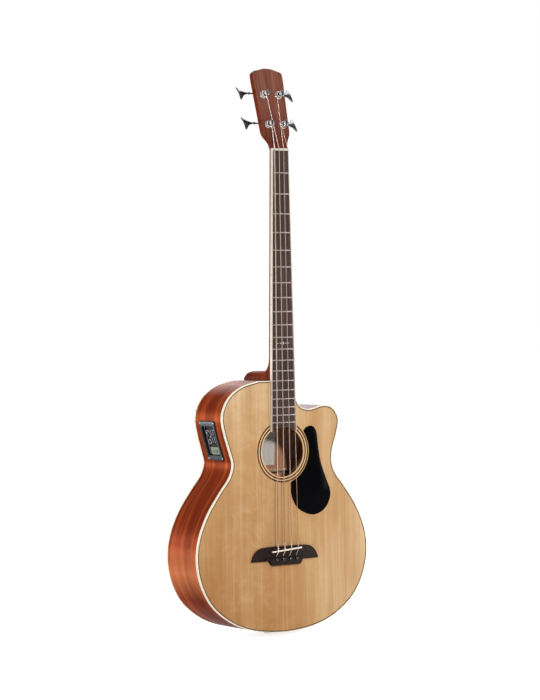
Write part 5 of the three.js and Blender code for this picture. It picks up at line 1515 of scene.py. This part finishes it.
PREAMP_BOTTOM = WAIST_HEIGHT + PREAMP_ABOVE_WAIST
PREAMP_TOP = PREAMP_BOTTOM + PREAMP_LENGTH
PREAMP_SPAN = bass_side_at(PREAMP_TOP) - bass_side_at(PREAMP_BOTTOM)
PREAMP_MIDDLE = (bass_side_at(PREAMP_TOP) + bass_side_at(PREAMP_BOTTOM)) / 2
PREAMP_TURN = math.atan2(PREAMP_SPAN.x, PREAMP_SPAN.y)
PREAMP_HALF = PREAMP_SPAN.length / 2
PREAMP_CENTRE = (PREAMP_MIDDLE.x, PREAMP_FROM_FRONT + PREAMP_WIDTH / 2, PREAMP_MIDDLE.y)
PREAMP = BODY @ Matrix.Translation(PREAMP_CENTRE) @ Matrix.Rotation(PREAMP_TURN, 4, "Y")


def side_line(distance):
    """The side's curve behind the panel, moved out by a distance, as pairs of height and depth."""
    line = []
    cos, sin = math.cos(PREAMP_TURN), math.sin(PREAMP_TURN)
    for z in span(PREAMP_BOTTOM - PREAMP_MARGIN, PREAMP_TOP + PREAMP_MARGIN, 40):
        tangent = (bass_side_at(z + 4) - bass_side_at(z - 4)).normalized()
        spot = bass_side_at(z) + Vector((-tangent.y, tangent.x)) * distance - PREAMP_MIDDLE
        line.append((spot.x * sin + spot.y * cos, spot.x * cos - spot.y * sin))
    return line


PANEL_FACE = max(x for _, x in side_line(0)) + PREAMP_FLOOR
RECESS_TOP = PREAMP_HALF - PREAMP_END_BAND
KNOB_PLACE = (PREAMP_RECESS_WIDTH / 2 - KNOB_RADIUS * 1.5, SLIDER_LIFT + SLIDER_TRAVEL / 2)
BUTTON_PLACE = (KNOB_PLACE[0], SLIDER_LIFT - SLIDER_TRAVEL)


def slider_y(n):
    return -PREAMP_RECESS_WIDTH / 2 + SLIDER_PITCH * (n + SLIDER_START_SHARE)


def panel_ring(line, half_y, half_z, corner, deeper=0):
    """A ring that follows the side's curve."""
    ring = rounded_rectangle(half_y, half_z, corner)
    return [Vector((along_line(line, p.y) + deeper, p.x, p.y)) for p in ring]


def preamp_frame():
    """The panel's frame, which follows the side's curve round a flat recess."""
    face = side_line(GAP + PREAMP_SEAT + PREAMP_PROUD)
    rings = [panel_ring(side_line(PLAY), PREAMP_WIDTH / 2, PREAMP_HALF, PREAMP_CORNER)]
    for sine, cosine in quarter(4):
        inset = PREAMP_EDGE_WIDTH * (1 - cosine)
        rings.append(panel_ring(face, PREAMP_WIDTH / 2 - inset, PREAMP_HALF - inset * PREAMP_EDGE_SHARE,
                                PREAMP_CORNER - inset, PREAMP_EDGE_DEPTH * (1 - sine)))
    for sine, cosine in quarter(3):
        wider = RECESS_LIP * (1 - sine)
        rings.append(panel_ring(face, PREAMP_RECESS_WIDTH / 2 + wider, RECESS_TOP + wider,
                                RECESS_CORNER + wider, RECESS_LIP * (1 - cosine)))
    last = rounded_rectangle(PREAMP_RECESS_WIDTH / 2 - RECESS_DRAFT, RECESS_TOP - RECESS_DRAFT,
                             RECESS_CORNER - RECESS_DRAFT)
    rings.append([Vector((PANEL_FACE, p.x, p.y)) for p in last])
    build = Build().loft(rings, 1, caps=False)
    # The sixth strip is the flat face; all of it but the side towards the back is lighter, and that side is
    # dark as painted shade
    count = len(last)
    for n in range(5 * count, 6 * count):
        if min(build.points[k].y for k in build.faces[n]) < PREAMP_RECESS_WIDTH / 2:
            build.marks[n] = 0
    start = len(build.points) - count
    build.faces.append(tuple(range(start, start + count)))
    build.marks.append(1)
    body_half = PREAMP_HALF - PREAMP_MARGIN
    build.box((PANEL_FACE + PREAMP_BODY_START, -PREAMP_BODY_WIDTH / 2, -body_half),
              (PREAMP_BODY_DEPTH, PREAMP_BODY_WIDTH / 2, body_half), 1)
    inset_y, inset_z = PREAMP_SCREW_INSETS
    for across, up in corners(PREAMP_WIDTH / 2 - inset_y, PREAMP_HALF - inset_z):
        spot = Matrix.Translation((along_line(face, up), across, up)) @ ALONG_X
        build.turned(PANEL_SCREW, 24, 2, spot)
    build.piece("panel_frame", [SLATE, SLATE_DARK, CHROME], ["preamp_housing"], "slate_plastic",
                place=PREAMP, sharp=40)


def panel_markings():
    """Slots, scale marks and the display on the recess's floor, with plain bars for its symbols."""
    build = Build()
    deep = PANEL_FACE + PRINT_DEPTH
    near = PANEL_FACE - PRINT_PROUD

    def patch(sides, ends, mark=1, lift=0):
        build.box((near - lift, sides[0], ends[0]), (deep, sides[1], ends[1]), mark)

    reach = SLIDER_TRAVEL + SLIDER_SLOT
    ends = (SLIDER_LIFT - reach, SLIDER_LIFT + reach)
    line_start, line_end = SCALE_LINE
    for n in range(3):
        y = slider_y(n)
        patch((y - SLIDER_SLOT / 2, y + SLIDER_SLOT / 2), ends, 0, SLOT_LIFT)
        patch((y + line_start, y + line_end), ends)
        for k, z in enumerate(span(SLIDER_LIFT - SLIDER_TRAVEL, SLIDER_LIFT + SLIDER_TRAVEL, 8)):
            tick_end = y + (LONG_TICK if k % 4 == 0 else SHORT_TICK)
            patch((y + line_end, tick_end), (z - TICK_HALF, z + TICK_HALF))
        patch([y + side for side in TOP_BAR_SIDES], [ends[1] + end for end in TOP_BAR_ENDS])
    for (y, z), radius, sweep in ((KNOB_PLACE, KNOB_RADIUS + KNOB_RING_GAP, KNOB_RING_TURN),
                                  (BUTTON_PLACE, BUTTON_RADIUS + BUTTON_RING_GAP, 360)):
        wide = radius + RING_WIDTH
        section = ((near, radius), (near, wide), (deep, wide), (deep, radius))
        rings = []
        for degrees in span(-sweep / 2, sweep / 2, 36):
            across, up = math.sin(math.radians(degrees)), math.cos(math.radians(degrees))
            rings.append([Vector((x, y + r * across, z + r * up)) for x, r in section])
        build.loft(rings, 1)
    wide = DISPLAY_WIDTH / 2
    low = -RECESS_TOP + DISPLAY_LIFT
    sides, ends = (DISPLAY_SHIFT - wide, DISPLAY_SHIFT + wide), (low, low + DISPLAY_HEIGHT)
    rim_y, rim_z = DISPLAY_FRAME
    frame_lift, glass_lift, bar_lift = DISPLAY_LIFTS
    patch((sides[0] - rim_y, sides[1] + rim_y), (ends[0] - rim_z, ends[1] + rim_z), 0, frame_lift)
    patch(sides, ends, 2, glass_lift)
    for y, z, across, up in DISPLAY_BARS:
        middle = DISPLAY_SHIFT + y
        patch((middle - across / 2, middle + across / 2), (low + z, low + z + up), 0, bar_lift)
    far, start, end = (PREAMP_RECESS_WIDTH / 2 - inset for inset in PANEL_LINE_INSETS)
    top = RECESS_TOP - PANEL_LINE_DROP
    patch((start, end), (low, top))
    patch((far, start), (top - PANEL_LINE_THICKNESS, top))
    build.piece("panel_markings", [BLACK_GLOSS, LEGEND, GLASS], slot="slate_plastic", place=PREAMP)


def slider(n, body):
    """A slider's cap on its stem, with a pale line across its crest."""
    y = slider_y(n)
    face = PANEL_FACE - GAP
    crest = face - SLIDER_CAP_PROUD
    foot = PANEL_FACE + SLIDER_SLOT_DEPTH - GAP
    build = Build().box((face - SLIDER_STEM_LAP, y - SLIDER_STEM / 2, SLIDER_LIFT - SLIDER_STEM),
                        (foot, y + SLIDER_STEM / 2, SLIDER_LIFT + SLIDER_STEM))
    wide, tall = SLIDER_CAP_WIDTH / 2, SLIDER_CAP_HEIGHT / 2
    rings = []
    for out, share in SLIDER_CAP_SHARES:
        side = wide * mix(1, share, SLIDER_SIDE_SHARE)
        ring = rounded_rectangle(side, tall * share, SLIDER_CAP_CORNER, 3, 2)
        rings.append([Vector((mix(face, crest, out), y + p.x, SLIDER_LIFT + p.y)) for p in ring])
    build.loft(rings)
    line = wide * SLIDER_LINE_SHARE
    build.box((crest - SLIDER_LINE_PROUD, y - line, SLIDER_LIFT - SLIDER_LINE_HALF),
              (crest + POINTER_SUNK, y + line, SLIDER_LIFT + SLIDER_LINE_HALF), 1)
    build.piece(f"slider_cap_{n + 1}", [CAP_GREY, PEARL], [f"slider_{n + 1}"], "slate_plastic",
                place=PREAMP, body=body)


def knob():
    """The volume dial with its pointer."""
    face = PANEL_FACE - GAP
    crest = face - KNOB_PROUD
    foot = PANEL_FACE + KNOB_SHANK_LENGTH
    y, z = KNOB_PLACE
    profile = [(0, foot), (KNOB_SHANK_RADIUS, foot), (KNOB_SHANK_RADIUS, face), (KNOB_RADIUS, face)]
    profile += eased(KNOB_RADIUS, crest, KNOB_CREST) + [(0, crest)]
    build = Build().turned(profile, place=Matrix.Translation((0, y, z)) @ ALONG_X)
    build.box((crest - POINTER_PROUD, y - POINTER_HALF, z + POINTER_END),
              (crest + POINTER_SUNK, y + POINTER_HALF, z + KNOB_RADIUS - POINTER_END), 1)
    build.piece("volume_dial", [CAP_GREY, PEARL], ["volume_knob"], "slate_plastic",
                place=PREAMP, body="knob")


def button():
    """The round button, a little hollow on top."""
    foot = PANEL_FACE + SLIDER_SLOT_DEPTH - BUTTON_TRAVEL - GAP
    top = PANEL_FACE - BUTTON_PROUD
    profile = [(0, foot), (BUTTON_RADIUS, foot)] + eased(BUTTON_RADIUS, top, BUTTON_CREST)
    profile.append((0, top + BUTTON_DISH))
    build = Build().turned(profile, 40, place=Matrix.Translation((0, *BUTTON_PLACE)) @ ALONG_X)
    build.piece("round_button", [CAP_GREY], ["preamp_button"], "slate_plastic", place=PREAMP, body="button")


def preamp():
    preamp_frame()
    panel_markings()
    for n, body in enumerate(("slider_low", "slider_middle", "slider_high")):
        slider(n, body)
    knob()
    button()


def jack():
    """The socket in the tail, which also carries the strap."""
    place = Matrix.Translation((0, DEPTH_AT_TAIL / 2, 0)) @ Matrix.Rotation(math.pi / 2, 4, "X")
    end = -JACK_PROUD
    mouth = (JACK_BORE, end + JACK_MOUTH_ROUND)
    profile = [mouth, (JACK_BORE + JACK_MOUTH_ROUND, end)] + eased(JACK_FLANGE, end, JACK_CREST)
    profile += [(JACK_WAIST, end * share) for share in JACK_WAIST_SHARES] + eased(JACK_FLANGE, 0, JACK_FOOT)
    profile += [(JACK_RADIUS, -PLAY), (JACK_RADIUS, JACK_LENGTH), (JACK_BORE, JACK_LENGTH), mouth]
    # The jack's near-black chrome is a painted dark reflection
    Build().turned(profile, place=place).piece("tail_jack", [PAINTED_DARK_CHROME], ["endpin_jack"], "chrome")


# Strings
def bend(a, b, c, reach, steps=8):
    """A rounded corner at b, on the way from a to c."""
    start = b + (a - b).normalized() * reach
    end = b + (c - b).normalized() * reach
    return [start * (1 - t) ** 2 + b * 2 * t * (1 - t) + end * t * t for t in span(0, 1, steps)]


def at_nut(i, share):
    """A string's place in its slot, a share of the way through the nut."""
    y = FRETBOARD_TOP - NUT_OVER * (1 - NUT_SLOT_SHARE) - STRING_RADII[i]
    return Vector((string_across(i, NUT_SPACING), y, NUT_Z + NUT_THICKNESS * share))


def post_spiral(i, steps=40):
    """The string's turns round its post, from where it meets the post."""
    x, s = POSTS[i]
    hand = 1 if x < 0 else -1
    radius = POST_WAIST + GAP + STRING_RADII[i]
    start = Matrix.Rotation(math.radians(HEAD_ANGLE), 3, "X") @ (at_nut(i, 1) - head_point(0, 0, 0))
    away = Vector((x - start.x, s - start.z))
    first = math.atan2(away.y, away.x) - hand * (math.asin(radius / away.length) + math.pi / 2)
    pitch = 2 * STRING_RADII[i] + WINDING_GAP
    low = -(GAP + FLANGE_THICKNESS + GAP + STRING_RADII[i])
    spots = []
    for k in range(round(STRING_TURNS[i] * steps) + 1):
        turn = k / steps
        angle = first + hand * 2 * math.pi * turn
        across, up = radius * math.cos(angle), radius * math.sin(angle)
        spots.append(head_point(x + across, low - pitch * turn, s + up))
    return spots


def string_route(i):
    """From under the bridge plate, over the saddle and the nut, to the turns on the post."""
    x = string_across(i, BRIDGE_SPACING)
    z = PIN_Z + PIN_SHANK_RADIUS + GAP + STRING_RADII[i]
    tail = Vector((x, SOUNDBOARD_THICKNESS + GAP + BRIDGE_PLATE + STRING_TAIL, z))
    rise = Vector((x, -BRIDGE_THICKNESS * STRING_RISE_SHARE, z))
    over = SADDLE_TOP - GAP - CROWN_ROOM - STRING_RADII[i]
    crown = Vector((x, over, saddle_z_at(x) - SADDLE_THICKNESS / 2))
    slot = at_nut(i, 0.5)
    spiral = post_spiral(i)
    return ([tail] + bend(tail, rise, crown, BRIDGE_BEND) + bend(rise, crown, slot, SADDLE_BEND)
            + bend(crown, slot, spiral[0], NUT_THICKNESS / 4) + spiral)


def strings():
    for i, name in enumerate(STRING_NAMES):
        build = Build().sweep(string_route(i), STRING_RADII[i], 14)
        build.piece(f"string_wire_{name}", [BRONZE], [f"string_{name}"], "bronze", sharp=60)


# Camera, light and floor
CAMERA_PLACE = (-2.869, -4.1297, -0.3897)
CAMERA_TURN = (-34.6124, -0.6573, -0.7917)
CAMERA_LENS = 118.29
CAMERA_REACH = (0.05, 60)
SENSOR_WIDTH = 36
WHITE = (1, 1, 1, 1)
WORLD_STRENGTH = 0.3
FLOOR_GREY = (0.8, 0.8, 0.8, 1)
FLOOR_LIFT = 0.85
FLOOR_HALF = 30
FLOOR_DROP = 0.002

# Each lamp: its name, its place, what it looks at, its size and its power
LAMPS = (
    ("key_light", (-1.05, -3.92, 0.59), (0, 0, -0.6), (0.35, 0.35), 112),
    ("right_strip", (2.25, -2.0, 0.1), (0, 0, -0.3), (0.4, 2.0), 20),
    ("left_strip", (-1.75, 2.5, -0.9), (-0.2, 0.06, -0.85), (0.5, 1.6), 120),
    ("top_light", (1.4, 0.45, 2.1), (0, 0.2, 0), (1.2, 1.0), 40),
    ("back_light", (1.2, 3.6, 0.4), (0, 0, -0.6), (1.5, 1.5), 40),
)


def add_object(name, data):
    made = bpy.data.objects.new(name, data)
    bpy.context.scene.collection.objects.link(made)
    return made


def camera():
    lens = bpy.data.cameras.new("camera")
    lens.sensor_width = SENSOR_WIDTH
    lens.lens = CAMERA_LENS
    lens.clip_start, lens.clip_end = CAMERA_REACH
    holder = add_object("camera", lens)
    bpy.context.scene.camera = holder
    yaw, pitch, roll = (math.radians(angle) for angle in CAMERA_TURN)
    holder.matrix_world = (Matrix.Translation(CAMERA_PLACE) @ Matrix.Rotation(yaw, 4, "Z")
                           @ Matrix.Rotation(math.pi / 2 + pitch, 4, "X") @ Matrix.Rotation(roll, 4, "Z"))


def lights():
    for name, place, target, size, power in LAMPS:
        lamp = bpy.data.lights.new(name, "AREA")
        lamp.shape = "RECTANGLE"
        lamp.size, lamp.size_y = size
        lamp.energy = power
        holder = add_object(name, lamp)
        holder.location = place
        holder.rotation_euler = (Vector(target) - Vector(place)).to_track_quat("-Z", "Y").to_euler()


def seen_by_eye(tree):
    """1 for camera, glossy and transmission rays."""
    path = add_node(tree, "ShaderNodeLightPath")
    total = path.outputs["Is Camera Ray"]
    for name in ("Is Glossy Ray", "Is Transmission Ray"):
        larger = add_node(tree, "ShaderNodeMath", {0: total, 1: path.outputs[name]}, operation="MAXIMUM")
        total = larger.outputs[0]
    return total


def world():
    """Soft grey light for the surfaces, and white where the camera or a reflection sees it."""
    made = bpy.data.worlds.new("studio")
    bpy.context.scene.world = made
    made.use_nodes = True
    tree = made.node_tree
    tree.nodes.clear()
    soft = add_node(tree, "ShaderNodeBackground", {"Color": WHITE, "Strength": WORLD_STRENGTH})
    white = add_node(tree, "ShaderNodeBackground", {"Color": WHITE})
    shaders = {0: seen_by_eye(tree), 1: soft.outputs[0], 2: white.outputs[0]}
    pick = add_node(tree, "ShaderNodeMixShader", shaders)
    add_node(tree, "ShaderNodeOutputWorld", {0: pick.outputs[0]})


def floor():
    """A wide pale floor that shows white and keeps a faint shadow."""
    mesh = bpy.data.meshes.new("floor")
    low = cad_low.z - FLOOR_DROP
    spots = [(FLOOR_HALF * x, FLOOR_HALF * y, low) for x, y in ((-1, -1), (1, -1), (1, 1), (-1, 1))]
    mesh.from_pydata(spots, [], [(0, 1, 2, 3)])
    piece = add_object("floor", mesh)
    finish = bpy.data.materials.new("pale_floor")
    finish.use_nodes = True
    tree = finish.node_tree
    tree.nodes.clear()
    surface = add_node(tree, "ShaderNodeBsdfDiffuse", {"Color": FLOOR_GREY})
    lift = add_node(tree, "ShaderNodeMath", {0: seen_by_eye(tree), 1: FLOOR_LIFT}, operation="MULTIPLY")
    glow = add_node(tree, "ShaderNodeEmission", {"Strength": lift.outputs[0]})
    both = add_node(tree, "ShaderNodeAddShader", {0: surface.outputs[0], 1: glow.outputs[0]})
    add_node(tree, "ShaderNodeOutputMaterial", {0: both.outputs[0]})
    mesh.materials.append(finish)


# What stays as the frame has it gets its finish here
NODE_FINISHES = (
    (BLOCK_WOOD, ("top_lining", "back_lining", "neck_block", "tail_block", "bridge_plate")),
    # The X brace's darker spruce is painted shade
    (PAINTED_SHADE_SPRUCE, ("x_brace",)),
    (INNER_SPRUCE, ("upper_brace", "tone_bar", "back_brace_1", "back_brace_2", "back_brace_3")),
    (CHROME, ("pickup", "truss_rod")),
)


def finish_nodes():
    for material, names in NODE_FINISHES:
        for name in names:
            mesh = frame["nodes"][name].data
            mesh.materials.clear()
            mesh.materials.append(material)


finish_nodes()
bindings()
soundboard()
sides()
back()
label()
bridge()
saddle()
bridge_pins()
pickguard()
fretboard()
frets()
inlays()
neck()
veneer()
nut()
tuners()
preamp()
jack()
strings()
camera()
world()
floor()
lights()

bpy.context.scene.view_settings.view_transform = "Standard"
